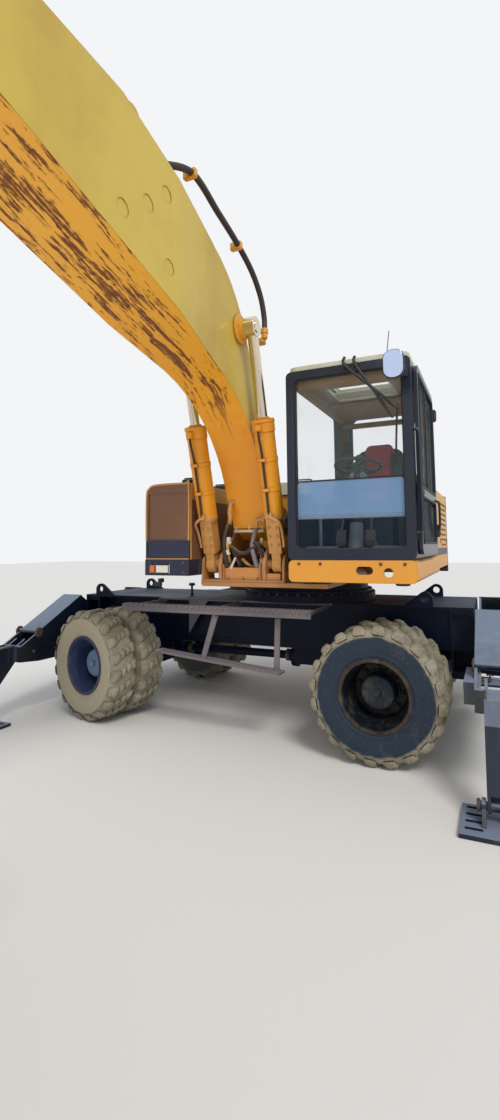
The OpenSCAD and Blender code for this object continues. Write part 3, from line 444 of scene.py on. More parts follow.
@dataclass(frozen=True)
class RimPaint(Finish):
    """Wheel disc, hub cap and rusty lip, told apart by their distance from the axle."""

    centre: Point = (0, 0, 0)
    axis: Point = (0, 1, 0)
    cap: str = "#59627A"
    disc: str = "#10193C"
    lip: str = "#6B5148"
    deep_rust: str = "#3A2A26"
    dust: str = "#9A9081"
    cap_edge: Flat = (0.134, 0.137)
    lip_edge: Flat = (0.225, 0.262)

    def shade(self, g: Graph) -> None:
        """Draws rings of colour with rust and dust.

        Args:
            g: The material's graph.
        """
        reach = g.axle_distance(self.centre, self.axis)
        fine = g.blotches(24.0, detail=FINE_DETAIL)
        patch = g.blotches(5.0)
        normal, edges = g.rounding(0.004)
        cap = g.mix(patch, tint(self.cap), darker(self.cap, 0.7))
        colour = g.mix(reach.between(*self.cap_edge), cap, tint(self.disc))
        rust = reach.between(*self.lip_edge) * 0.42 + fine * 0.6 + edges.between(0.03, 0.3) * 0.2
        colour = g.mix(rust.between(0.55, 0.8), colour, g.mix(fine, tint(self.lip), tint(self.deep_rust)))
        dust = (patch * 0.8 + fine * 0.4).between(0.55, 0.9) * 0.25
        colour = g.mix(dust, colour, tint(self.dust))
        g.surface({"Base Color": colour, "Roughness": dust * 0.4 + 0.45, "IOR": 1.3},
                  fine, 0.0006, normal)


@dataclass(frozen=True)
class TyreRubber(Finish):
    """Tyre rubber: mud on the tread, dust or bare rubber on the walls."""

    centre: Point = (0, 0, 0)
    axis: Point = (0, 1, 0)
    wall: str = "#2B3A44"
    mud: str = "#A09A8A"
    mud_dark: str = "#77715F"
    # Darker mud in the tread's hollows: partly packed mud, partly painted shade
    mud_and_shade: str = "#5B5343"
    wall_dust: str = "#6E7470"
    shoulder: Flat = (0.43, 0.455)

    def shade(self, g: Graph) -> None:
        """Draws mud by distance from the axle, broken up by noise, darker in hollows as partly packed mud and
        partly painted shade.

        Args:
            g: The material's graph.
        """
        reach = g.axle_distance(self.centre, self.axis)
        broad = g.blotches(6.0)
        fine = g.blotches(60.0, detail=8.0)
        tread = (reach + broad * 0.05 - 0.025).between(*self.shoulder)
        mud = g.mix((broad * 0.7 + fine * 0.45).between(0.4, 0.75), tint(self.mud_dark), tint(self.mud))
        # Mud darkens in the hollows: partly packed mud, partly painted shade
        hollow = g.hollows(0.05).between(0.25, 0.8)
        mud = g.mix(hollow * 0.55, mud, tint(self.mud_and_shade))
        wall = g.mix(fine.between(0.45, 0.8) * 0.14, tint(self.wall), tint(self.wall_dust))
        wall = g.mix((broad + fine * 0.3).between(0.72, 0.9) * 0.2, wall, tint(self.mud_dark))
        colour = g.mix(tread, wall, mud)
        g.surface({"Base Color": colour, "Roughness": tread * 0.25 + fine * 0.1 + 0.62, "IOR": 1.4},
                  fine * 0.6 + broad * 0.6, 0.004)


@dataclass(frozen=True)
class Metal(Finish):
    """Bare metal, from bright chrome to rusty castings."""

    colour: str = "#C9CCD2"
    stain: str = "#7A6A58"
    gloss: float = 0.16
    metallic: float = 1.0
    # Share of stains in patches, and of the darkening in hollows that is partly painted shade
    stain_and_shade_share: float = 0.3
    grain: float = 30.0
    deep_rust: str = "#2E2119"

    def shade(self, g: Graph) -> None:
        """Draws metal with stains in patches, and in hollows a darkening that is partly grime and partly
        painted shade.

        Args:
            g: The material's graph.
        """
        fine = g.blotches(self.grain, detail=FINE_DETAIL)
        normal, _ = g.rounding(0.002)
        # Darker in hollows: partly grime, partly painted shade
        stains_and_shade = ((g.blotches(4.0) + fine * 0.4).between(0.75 - self.stain_and_shade_share * 0.3, 1.0)
                + g.hollows(0.03).between(0.3, 0.9) * self.stain_and_shade_share)
        colour = g.mix(stains_and_shade, tint(self.colour), g.mix(fine, tint(self.stain), tint(self.deep_rust)))
        metallic = (1.0 - stains_and_shade * 0.8) * self.metallic
        rough = stains_and_shade * 0.5 + fine * 0.08 + self.gloss
        g.surface({"Base Color": colour, "Metallic": metallic, "Roughness": rough},
                  fine, 0.0003, normal)


@dataclass(frozen=True)
class Matte(Finish):
    """Rubber, plastic or cloth: one colour with a grain, dust and a sheen."""

    colour: str = "#17181B"
    lighter: str = "#2A2B2E"
    gloss: float = 0.6
    grain: float = 120.0
    relief: float = 0.0004
    dust: float = 0.2
    dust_colour: str = "#9A9180"

    def shade(self, g: Graph) -> None:
        """Draws colour, grain and dust.

        Args:
            g: The material's graph.
        """
        fine = g.blotches(self.grain, detail=3.0)
        settled = (g.up.between(0.2, 0.9) * 0.6 + g.blotches(5.0) * 0.8).between(0.5, 1.0) * self.dust
        colour = g.mix(g.blotches(7.0), tint(self.colour), tint(self.lighter))
        colour = g.mix(settled, colour, tint(self.dust_colour))
        g.surface({"Base Color": colour, "Roughness": fine * 0.15 + self.gloss}, fine, self.relief)


@dataclass(frozen=True)
class Woven(Finish):
    """Seat cloth with a fine weave."""

    colour: str = "#A81F2E"
    thread: str = "#7A1420"
    pitch: float = 260.0

    def shade(self, g: Graph) -> None:
        """Draws crossed threads and worn patches.

        Args:
            g: The material's graph.
        """
        rows = [g.channel("ShaderNodeTexWave", {"bands_direction": way, "wave_profile": "SIN"},
                          {"Vector": g.place, "Scale": self.pitch, "Distortion": 0.4}, 1)
                for way in ("X", "Z")]
        weave = rows[0] * rows[1]
        worn = g.blotches(9.0).between(0.4, 0.8)
        colour = g.mix(weave * 0.5 + worn * 0.3, tint(self.colour), tint(self.thread))
        g.surface({"Base Color": colour, "Roughness": worn * 0.1 + 0.82, "Sheen Weight": 0.25},
                  weave, 0.0005)


@dataclass(frozen=True)
class Pane(Finish):
    """Window glass with dust, and below a height a painted blue sky reflection."""

    clear: str = "#A9C2C8"
    # Blues of the front's lower pane and of a band in it: painted sky reflection
    low: str = "#86AEDC"
    reflection_dark: str = "#22384E"
    split: float = 2.19
    front: float = 1.1
    alpha: float = 0.05

    def shade(self, g: Graph) -> None:
        """Draws glass, clear above, with a painted blue sky reflection in the front's lower pane.

        Args:
            g: The material's graph.
        """
        # The front's lower pane and a band in it get blue colour and more opacity: painted sky reflection
        lower = g.math("LESS_THAN", g.z, self.split) * g.math("GREATER_THAN", g.y, self.front)
        band = g.z.between(1.86, 1.92) * lower
        colour = g.mix(band, g.mix(lower, tint(self.clear), tint(self.reflection_dark)), tint(self.low))
        dust = g.blotches(3.0).between(0.5, 0.85) * 0.05 + g.blotches(30.0).between(0.62, 0.8) * 0.03
        alpha = dust + lower * 0.14 + band * 0.30 + self.alpha
        g.surface({"Base Color": colour, "Roughness": dust + 0.04, "Alpha": alpha, "IOR": 1.35})


@dataclass(frozen=True)
class Lens(Finish):
    """Ribbed lamp lens."""

    colour: str = "#F2F0E6"
    dust: str = "#8C8474"

    def shade(self, g: Graph) -> None:
        """Draws prisms and a little dust.

        Args:
            g: The material's graph.
        """
        relief = g.channel("ShaderNodeTexWave", {"bands_direction": "X"},
                           {"Vector": g.place, "Scale": 60.0}, 1)
        soiled = g.blotches(8.0).between(0.4, 0.9) * 0.3 + relief * 0.12
        colour = g.mix(soiled, tint(self.colour), tint(self.dust))
        g.surface({"Base Color": colour, "Roughness": relief * 0.05 + 0.12, "Coat Weight": 0.6},
                  relief, 0.001)


# Measures that more than one class needs

WHEEL_RADIUS = 0.525
STEER_DEG = -14.7
FRONT_X, KINGPIN_Y = 1.775, 0.7
REAR_X = -0.905
DECK_Z = 1.13
LEG_X = {"front": 2.66, "rear": -1.74}
BOOM_X = 0.305
BOOM_FOOT, BOOM_HEAD, BOOM_TIP = (0.5, 1.88), (1.45, 3.47), (5.0, 4.0)
BOOM_CYLINDER_FOOT, ARM_CYLINDER_FOOT = (0.9, 1.5), (2.75, 4.43)
CAB_LOW, CAB_HIGH = (-1.25, -0.42, 1.545), (-0.23, 1.22, 3.12)
CAB_WALL = 0.06
CAB_MIDDLE = -0.74
PANE_SPLIT = 2.19
LINING = CAB_WALL - 0.004
LINING_LOW = tuple(a + LINING for a in CAB_LOW)

YELLOW = Paint("yellow_paint", Slot.YELLOW, "#DB962A", "#D9A23C", wear=0.45)
FOOT_PAINT = Paint("stained_yellow_paint", Slot.YELLOW, "#C48A4A", "#B97A42", "#4A2A1C", "#8F7A66",
                   dustiness=0.6, wear=0.75)
BOOM_PAINT = BoomPaint("boom_paint", Slot.YELLOW, "#EBA01C", "#E08F14", "#96562C",
                       dustiness=0.08, wear=0.5)
BARREL_PAINT = ZonedPaint("barrel_paint", Slot.YELLOW, "#E39A1C", "#D98A18", dustiness=0.08, wear=0.5, zones=(
    ((-0.2, 0.7, 1.3), (0.8, 1.3, 1.922), "#CC944E"),))
NAVY = Paint("navy_paint", Slot.NAVY, "#0E1A2E", "#182640", "#4A382E", "#7E828C",
             dustiness=0.4, wear=0.4, sheen=0.38)
DUSTY_NAVY = Paint("dusty_navy_paint", Slot.NAVY, "#060F22", "#0B1830", "#4E3A2E", "#465470",
                   dustiness=0.22, wear=0.5, sheen=0.4, ior=1.22)
LEG_PAINT = Paint("leg_paint", Slot.NAVY, "#0E1828", "#1C293C", "#4E3A2E", "#8492AA",
                  dustiness=0.5, wear=0.5, sheen=0.3)
RUSTY_STEP = Paint("rusty_step_paint", Slot.NAVY, "#4E4C58", "#6E6668", "#6B5148", "#8E8A92",
                   dustiness=0.55, wear=0.7, sheen=0.5)
CREAM = Paint("cream_paint", Slot.CREAM, "#D2D3C4", "#C2C2B0", "#6A5A44", "#9A988A",
              dustiness=0.3, wear=0.3)
UPPER_PAINT = ZonedPaint("upper_paint", Slot.YELLOW, "#DE9C38", "#D8953A", dustiness=0.3, wear=0.45, zones=(
    ((0.735, -0.6, 1.3), (1.3, 1.3, 1.56), "#17203E"),
    ((-0.52, -0.6, 1.28), (0.735, 1.05, 2.1), "#B8824C")))
TANK_PAINT = ZonedPaint("tank_paint", Slot.YELLOW, "#D9A64E", "#CDA057", dustiness=0.3, zones=(
    ((0.5, -0.6, 1.5), (0.7455, 1.13, 2.1), "#7A533A"),
    ((0.735, 1.152, 1.725), (1.212, 1.3, 2.24), "#7A533A"),
    ((0.70, 1.152, 1.5), (1.3, 1.3, 1.725), "#1B2446")))
HOUSING_PAINT = ZonedPaint("housing_paint", Slot.YELLOW, "#D99A34", "#D3A044", zones=(
    ((-1.3, -2.4, 1.5), (1.3, 0.0, 1.62), "#141D3C"),))
CAB_PAINT = ZonedPaint("cab_paint", Slot.NAVY, "#151D2C", "#1B2436", "#3E362E", "#7C7E84",
                       dustiness=0.2, wear=0.22, sheen=0.32, zones=(
    (LINING_LOW, tuple(b - LINING for b in CAB_HIGH), "#7A5C34"),
    (LINING_LOW, (CAB_HIGH[0] - LINING, 1.165, 2.33), "#1A1B1F"),
    ((-1.2, 1.13, 1.87), (-0.28, 1.1635, 1.915), "#C9C6BC")))
CHROME = Metal("rod_chrome", Slot.CHROME, "#DCCFB8", "#8A6A44", gloss=0.12, stain_and_shade_share=0.12)
WORN_STEEL = Metal("worn_steel", Slot.STEEL, "#6A625A", "#5A3C28", gloss=0.45, metallic=0.75, stain_and_shade_share=0.7)
BUCKET_STEEL = Metal("bucket_steel", Slot.STEEL, "#5A5048", "#6A4028", gloss=0.5, metallic=0.5,
                     stain_and_shade_share=0.9, grain=14.0)
BRIGHT_STEEL = Metal("fitting_steel", Slot.STEEL, "#D8CDBE", "#8A6A4C", gloss=0.35, metallic=0.35,
                     stain_and_shade_share=0.3)
TAN_PIPE = Paint("pipe_paint", Slot.YELLOW, "#CB9C5E", "#C08A4E", "#5A3422", "#9A8468",
                 dustiness=0.4, wear=0.8, edge=0.003)
CASTING = Metal("cast_engine", Slot.ENGINE, "#4A4844", "#5A4030", gloss=0.55, metallic=0.4, stain_and_shade_share=0.6)
EXHAUST = Metal("exhaust_steel", Slot.ENGINE, "#6B4A38", "#8A4A28", gloss=0.6, metallic=0.3,
                stain_and_shade_share=1.0, grain=18.0)
HOSE = Matte("hose_rubber", Slot.HOSE, "#241A16", "#3A2E28", gloss=0.5, grain=200.0,
             relief=0.0005, dust=0.35)
GREY_HOSE = Matte("worn_hose_rubber", Slot.HOSE, "#6E6670", "#8A8284", gloss=0.5, grain=200.0,
                  relief=0.0005, dust=0.4)
SEAL = Matte("seal_rubber", Slot.HOSE, "#121317", "#1E1F24", gloss=0.55, grain=90.0,
             relief=0.0003, dust=0.15)
PLASTIC = Matte("dark_plastic", Slot.PLASTIC, "#17181B", "#222327", gloss=0.5, grain=300.0,
                relief=0.0003)
GREY_PLASTIC = Matte("grey_plastic", Slot.PLASTIC, "#6C7884", "#7C8892", gloss=0.5, grain=300.0,
                     relief=0.0003)
TAN_LINING = Matte("tan_lining", Slot.PLASTIC, "#7E6038", "#8E6F44", gloss=0.75, grain=160.0,
                   relief=0.0005, dust=0.1)
SEAT_RED = Woven("seat_red_cloth", Slot.FABRIC)
SEAT_BLACK = Woven("seat_black_cloth", Slot.FABRIC, "#15161A", "#24262C")
GLASS = Pane("window_glass", Slot.GLASS, split=PANE_SPLIT)
MIRROR = Metal("mirror_glass", Slot.GLASS, "#C4D4F0", "#C4D4F0", gloss=0.04, stain_and_shade_share=0.0)
WHITE_LENS = Lens("white_lens", Slot.GLASS)
AMBER_LENS = Lens("amber_lens", Slot.GLASS, "#E8641C")
RED_LENS = Lens("red_lens", Slot.GLASS, "#B01E1A")


# Meshes


def smooth_path(points: Sequence[Spot], steps: int, closed: bool) -> list[Vector]:
    """A soft curve through points.

    Args:
        points: Points that the curve passes.
        steps: Points of the curve for each stretch.
        closed: Whether the curve returns to its start.

    Returns:
        The curve's points.
    """
    known = [Vector(p) for p in points]
    count = len(known)
    path = []
    for i in range(count if closed else count - 1):
        a, b, c, d = (known[(i + k) % count] if closed else known[min(max(i + k, 0), count - 1)]
                      for k in (-1, 0, 1, 2))
        for step in range(steps):
            t = step / steps
            path.append(0.5 * (2 * b + (c - a) * t + (2 * a - 5 * b + 4 * c - d) * t ** 2
                               + (3 * b - a - 3 * c + d) * t ** 3))
    if not closed:
        path.append(known[-1])
    return path


def rounded(low: Flat, high: Flat, radius: float, steps: int = 5) -> list[Flat]:
    """Outline of a rectangle with round corners.

    Args:
        low: Its lowest corner.
        high: Its highest corner.
        radius: Radius of the corners.
        steps: Stretches of each corner.

    Returns:
        The outline's points.
    """
    corners = ((high[0] - radius, high[1] - radius, 0), (low[0] + radius, high[1] - radius, 90),
               (low[0] + radius, low[1] + radius, 180), (high[0] - radius, low[1] + radius, 270))
    return [(x + radius * math.cos(math.radians(turn + 90 * i / steps)),
             y + radius * math.sin(math.radians(turn + 90 * i / steps)))
            for x, y, turn in corners for i in range(steps + 1)]


def raised(outline: Iterable[Flat], axis: Axis, level: float) -> list[Point]:
    """The points of a flat outline at a level along an axis."""
    return [(*p[:axis.value], level, *p[axis.value:]) for p in outline]


def spokes(axis: Spot, count: int, start: float = 0.0) -> list[Vector]:
    """Directions square to an axis, evenly round it.

    Args:
        axis: The axis.
        count: Number of directions.
        start: Angle of the first, in radians.

    Returns:
        Vectors of length 1.
    """
    along = Vector(axis).normalized()
    side = along.orthogonal().normalized()
    other = along.cross(side)
    angles = [start + FULL_TURN * i / count for i in range(count)]
    return [side * math.cos(a) + other * math.sin(a) for a in angles]


class Form:
    """A mesh that grows feature by feature."""

    def __init__(self) -> None:
        """Starts an empty mesh."""
        self.bm = bmesh.new()

    def loft(self, rings: Sequence[Sequence[Spot]], closed: bool = False) -> None:
        """Joins rings of equal counts of points by faces.

        Args:
            rings: Rings of points, in order.
            closed: Whether the last ring joins the first; else the first and the last are filled.
        """
        made = [[self.bm.verts.new(p) for p in ring] for ring in rings]
        pairs = list(zip(made, made[1:])) + ([(made[-1], made[0])] if closed else [])
        for a, b in pairs:
            for i in range(len(a)):
                k = (i + 1) % len(a)
                self.bm.faces.new((a[i], a[k], b[k], b[i]))
        if not closed:
            self.bm.faces.new(list(reversed(made[0])))
            self.bm.faces.new(made[-1])

    def prism(self, outline: Sequence[Flat], axis: Axis, low: float, high: float,
              chamfer: float = 0.0) -> None:
        """Draws an outline out along an axis.

        Args:
            outline: Points in the other two axes.
            axis: The axis.
            low: Where it starts.
            high: Where it ends.
            chamfer: How much the ends are broken.
        """
        if not chamfer:
            self.loft([raised(outline, axis, low), raised(outline, axis, high)])
            return
        u, v = (sum(p[k] for p in outline) / len(outline) for k in (0, 1))
        keep = 1 - chamfer / max(max(abs(p[0] - u), abs(p[1] - v)) for p in outline)
        small = [(u + (p[0] - u) * keep, v + (p[1] - v) * keep) for p in outline]
        self.loft([raised(small, axis, low), raised(outline, axis, low + chamfer),
                   raised(outline, axis, high - chamfer), raised(small, axis, high)])

    def plate(self, low: Flat, high: Flat, radius: float, axis: Axis, span: Flat, chamfer: float,
              steps: int = 5) -> None:
        """A rectangle with round corners, drawn out along an axis over a span."""
        self.prism(rounded(low, high, radius, steps), axis, *span, chamfer)

    def box(self, low: Spot, high: Spot, chamfer: float = 0.003) -> None:
        """A box by its lowest and highest corners, with edges broken by the chamfer at most."""
        c = min([chamfer] + [(b - a) * 0.3 for a, b in zip(low, high)])
        self.plate((low[0], low[1]), (high[0], high[1]), c, Axis.Z, (low[2], high[2]), c, 1)

    def block(self, centre: Spot, half: Point, chamfer: float = 0.003) -> None:
        """A box about a centre, given by half its size along each axis."""
        low, high = ([c + s * h for c, h in zip(centre, half)] for s in (-1, 1))
        self.box(low, high, chamfer)

    def turned(self, profile: Sequence[Flat], start: Spot, axis: Spot, steps: int = 24) -> None:
        """Turns a profile of radii and distances from a start about an axis; its ends are filled."""
        along = Vector(axis).normalized()
        self.loft([[Vector(start) + along * d + s * r for s in spokes(axis, steps)] for r, d in profile])

    def bar(self, a: Spot, b: Spot, radius: float, steps: int = 20) -> None:
        """A round bar with broken ends.

        Args:
            a: Middle of its first end.
            b: Middle of its other end.
            radius: Its radius.
            steps: Stretches round it.
        """
        length = (Vector(b) - Vector(a)).length
        c = min(radius * 0.2, length * 0.2)
        self.turned([(radius - c, 0), (radius, c), (radius, length - c), (radius - c, length)],
                    a, Vector(b) - Vector(a), steps)

    def disc(self, place: Spot, axis: Spot, radius: float, steps: int = 28, thick: float = 0.008,
             lip: float = 0.006) -> None:
        """A keeper plate on a pin, with a broken edge of the width of its lip."""
        self.turned([(radius, 0), (radius, thick), (radius - lip, thick + 0.004)], place, axis, steps)

    def bolt(self, place: Spot, axis: Spot, size: float = 0.012) -> None:
        """A hexagon head on a washer.

        Args:
            place: Middle of the washer's foot.
            axis: Direction that the head points.
            size: Radius of the head.
        """
        self.turned([(size * 1.5, 0), (size * 1.5, size * 0.25), (size * 1.2, size * 0.26)], place, axis, 14)
        head = Vector(place) + Vector(axis).normalized() * size * 0.2
        self.turned([(size, 0), (size, size * 0.8), (size * 0.8, size)], head, axis, 6)

    def bolts(self, centre: Spot, axis: Spot, reach: float, count: int, size: float,
              start: float = 0.0) -> None:
        """A ring of bolts about a centre, of a radius `reach`; the first is `start` degrees round it."""
        for spoke in spokes(axis, count, math.radians(start)):
            self.bolt(Vector(centre) + spoke * reach, axis, size)

    def tube(self, points: Sequence[Spot], radius: float, sides: int = 12, steps: int = 6,
             closed: bool = False) -> None:
        """A tube along a soft curve.

        Args:
            points: Points that its middle passes.
            radius: Its radius.
            sides: Sides round it.
            steps: Rings for each stretch.
            closed: Whether it returns to its start.
        """
        path = smooth_path(points, steps, closed)
        count = len(path)
        angles = [FULL_TURN * k / sides for k in range(sides)]
        rings = []
        side = (path[1] - path[0]).orthogonal().normalized()
        for i, place in enumerate(path):
            before = path[i - 1] if closed or i else path[0]
            after = path[(i + 1) % count] if closed or i < count - 1 else path[-1]
            along = (after - before).normalized()
            side = (side - along * side.dot(along)).normalized()
            other = along.cross(side)
            rings.append([place + (side * math.cos(a) + other * math.sin(a)) * radius for a in angles])
        self.loft(rings, closed)

    def seal(self, low: Flat, high: Flat, radius: float, axis: Axis, level: float,
             thick: float = 0.012) -> None:
        """A rubber seal round a window's opening, at a level along the axis that it faces."""
        self.tube(raised(rounded(low, high, radius), axis, level), thick, 8, 2, closed=True)

    def move(self, matrix: Matrix) -> None:
        """Moves all that is there so far."""
        bmesh.ops.transform(self.bm, matrix=matrix, verts=self.bm.verts)

    def piece(self, name: str, body: str, finish: Finish, crease: float = 32.0) -> bpy.types.Object:
        """Turns the mesh into a piece that rides on a body, and starts the next mesh.

        Args:
            name: The piece's name.
            body: The body that it moves with.
            finish: Its finish.
            crease: Angle in degrees above which an edge stays sharp.

        Returns:
            The new object.
        """
        bmesh.ops.recalc_face_normals(self.bm, faces=self.bm.faces)
        mesh = bpy.data.meshes.new(name)
        self.bm.to_mesh(mesh)
        self.bm.clear()
        mesh.polygons.foreach_set("use_smooth", [True] * len(mesh.polygons))
        mesh.set_sharp_from_angle(angle=math.radians(crease))
        mesh.materials.append(finish.material())
        made = bpy.data.objects.new(name, mesh)
        bpy.context.scene.collection.objects.link(made)
        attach(made, body)
        LOG.info("%s: %d faces on %s", name, len(mesh.polygons), body)
        return made


def dress(node: str, finish: Finish) -> None:
    """Gives a node of the frame its finish.

    Args:
        node: The node's name.
        finish: The finish.
    """
    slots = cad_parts[node].data.materials
    slots.clear()
    slots.append(finish.material())
    LOG.info("%s: finish %s", node, finish.name)


# Scene


@dataclass
class Studio:
    """Camera at the photograph's place, plain floor and soft light."""

    eye: Point = (-1.7853, 5.3843, 1.6667)
    yaw: float = 24.496
    pitch: float = 4.816
    roll: float = -0.573
    focal_px: float = 536.09
    image_height: int = 1120
    centre_above_px: float = 59.5
    sensor: float = 36.0
    far: float = 300.0
    floor_half: float = 45.0
    floor_colour: tuple[float, ...] = (0.80, 0.79, 0.77, 1)
    sun_from: Point = (-0.55, 0.62, 0.9)
    sun_power: float = 1.5
    sun_angle: float = 18.0
    sun_colour: Point = (1.0, 0.97, 0.92)
    sky: float = 0.62
    sky_colour: tuple[float, ...] = (0.93, 0.96, 1.0, 1)
    backdrop: tuple[float, ...] = (0.90, 0.91, 0.93, 1)
    glow_power: float = 95.0
    glow_at: Point = (1.0, 4.4, 0.02)
    glow_size: Flat = (9.0, 4.5)
    glow_colour: Point = (1.0, 0.86, 0.66)

    def camera(self) -> None:
        """Makes the camera."""
        data = bpy.data.cameras.new("camera")
        data.sensor_width = self.sensor
        data.lens = self.focal_px * self.sensor / self.image_height
        data.shift_y = -self.centre_above_px / self.image_height
        data.clip_end = self.far
        yaw, pitch, roll = (math.radians(a) for a in (self.yaw, self.pitch, self.roll))
        level = Vector((math.sin(yaw), -math.cos(yaw), 0))
        right = Vector((-math.cos(yaw), -math.sin(yaw), 0))
        ahead = level * math.cos(pitch) + Vector(UP) * math.sin(pitch)
        up = Vector(UP) * math.cos(pitch) - level * math.sin(pitch)
        turned_right = right * math.cos(roll) + up * math.sin(roll)
        turned_up = up * math.cos(roll) - right * math.sin(roll)
        turn = Matrix((turned_right, turned_up, -ahead)).transposed().to_4x4()
        camera = bpy.data.objects.new("camera", data)
        camera.matrix_world = Matrix.Translation(self.eye) @ turn
        bpy.context.scene.collection.objects.link(camera)
        bpy.context.scene.camera = camera

    def floor(self) -> None:
        """Makes the floor with a plain pale colour."""
        form = Form()
        half = self.floor_half
        form.box((-half, -half, -0.05), (half, half, -0.001), 0.01)
        mesh = bpy.data.meshes.new("floor")
        form.bm.to_mesh(mesh)
        form.bm.free()
        mesh.materials.append(Graph("floor").surface({"Base Color": self.floor_colour, "Roughness": 0.95}))
        floor = bpy.data.objects.new("floor", mesh)
        bpy.context.scene.collection.objects.link(floor)

    def world(self) -> None:
        """Makes the sky: a soft light, with a plain backdrop for the camera and in reflections."""
        world = bpy.data.worlds.new("sky")
        bpy.context.scene.world = world
        world.use_nodes = True
        tree = world.node_tree
        tree.nodes.clear()
        path = tree.nodes.new("ShaderNodeLightPath")
        seen = path.outputs["Is Camera Ray"]
        for port in ("Is Glossy Ray", "Is Transmission Ray"):
            join = tree.nodes.new("ShaderNodeMath")
            join.operation = "MAXIMUM"
            tree.links.new(seen, join.inputs[0])
            tree.links.new(path.outputs[port], join.inputs[1])
            seen = join.outputs[0]
        lit, shown = (tree.nodes.new("ShaderNodeBackground") for _ in range(2))
        for shade, colour, power in ((lit, self.sky_colour, self.sky), (shown, self.backdrop, 1.0)):
            shade.inputs[0].default_value = colour
            shade.inputs[1].default_value = power
        mix = tree.nodes.new("ShaderNodeMixShader")
        output = tree.nodes.new("ShaderNodeOutputWorld")
        for source, port in ((seen, 0), (lit.outputs[0], 1), (shown.outputs[0], 2)):
            tree.links.new(source, mix.inputs[port])
        tree.links.new(mix.outputs[0], output.inputs[0])

    def lamp(self, name: str, kind: str, power: float, colour: Point) -> bpy.types.Object:
        """Makes a lamp.

        Args:
            name: Its name.
            kind: Its type.
            power: Its power.
            colour: Its linear colour.

        Returns:
            The lamp.
        """
        data = bpy.data.lights.new(name, kind)
        data.energy = power
        data.color = colour
        lamp = bpy.data.objects.new(name, data)
        bpy.context.scene.collection.objects.link(lamp)
        return lamp

    def lamps(self) -> None:
        """Makes a soft sun, and the warm glow of the ground on the boom's underside."""
        sun = self.lamp("sun", "SUN", self.sun_power, self.sun_colour)
        sun.data.angle = math.radians(self.sun_angle)
        sun.rotation_mode = "QUATERNION"
        sun.rotation_quaternion = Vector(self.sun_from).to_track_quat("Z", "Y")
        glow = self.lamp("ground_glow", "AREA", self.glow_power, self.glow_colour)
        glow.data.shape = "RECTANGLE"
        glow.data.size, glow.data.size_y = self.glow_size
        glow.location = self.glow_at
        glow.rotation_euler = (math.pi, 0, 0)
        glow.visible_camera = False

    def build(self) -> None:
        """Makes camera, floor and light, and sets the plain colour view."""
        self.camera()
        self.floor()
        self.world()
        self.lamps()
        bpy.context.scene.view_settings.view_transform = "Standard"


@dataclass
class Bodywork:
    """The frame's own pieces, each with its finish."""

    finishes: dict[str, Finish] = field(default_factory=lambda: {
        "chassis_frame": DUSTY_NAVY, "slew_ring": DUSTY_NAVY, "front_axle": DUSTY_NAVY,
        "rear_axle": DUSTY_NAVY, "driveline": DUSTY_NAVY, "side_steps": RUSTY_STEP,
        "left_knuckle": DUSTY_NAVY, "right_knuckle": DUSTY_NAVY, "steering_rod": WORN_STEEL,
        "front_left_leg": LEG_PAINT, "front_right_leg": LEG_PAINT, "rear_left_leg": LEG_PAINT,
        "rear_right_leg": LEG_PAINT, "upper_frame": UPPER_PAINT, "counterweight": NAVY,
        "engine_hood": CREAM, "engine": CASTING, "exhaust": EXHAUST, "right_tank": TANK_PAINT,
        "engine_housings": HOUSING_PAINT, "cab_shell": CAB_PAINT, "cab_roof": CREAM, "cab_glass": GLASS,
        "cab_door": CAB_PAINT, "door_glass": GLASS, "cab_controls": PLASTIC, "front_lamps": WHITE_LENS,
        "valve_and_hoses": CASTING, "cab_mirror": NAVY, "boom": BOOM_PAINT, "boom_hoses": HOSE,
        "boom_cylinder_barrels": BARREL_PAINT, "boom_cylinder_rods": CHROME, "arm": BOOM_PAINT,
        "arm_cylinder_barrel": BARREL_PAINT, "arm_cylinder_rod": CHROME,
        "bucket_cylinder_barrel": BARREL_PAINT, "bucket_cylinder_rod": CHROME,
        "rocker": YELLOW, "link": YELLOW, "bucket": BUCKET_STEEL})

    def build(self) -> None:
        """Dresses each node."""
        for node, finish in self.finishes.items():
            dress(node, finish)


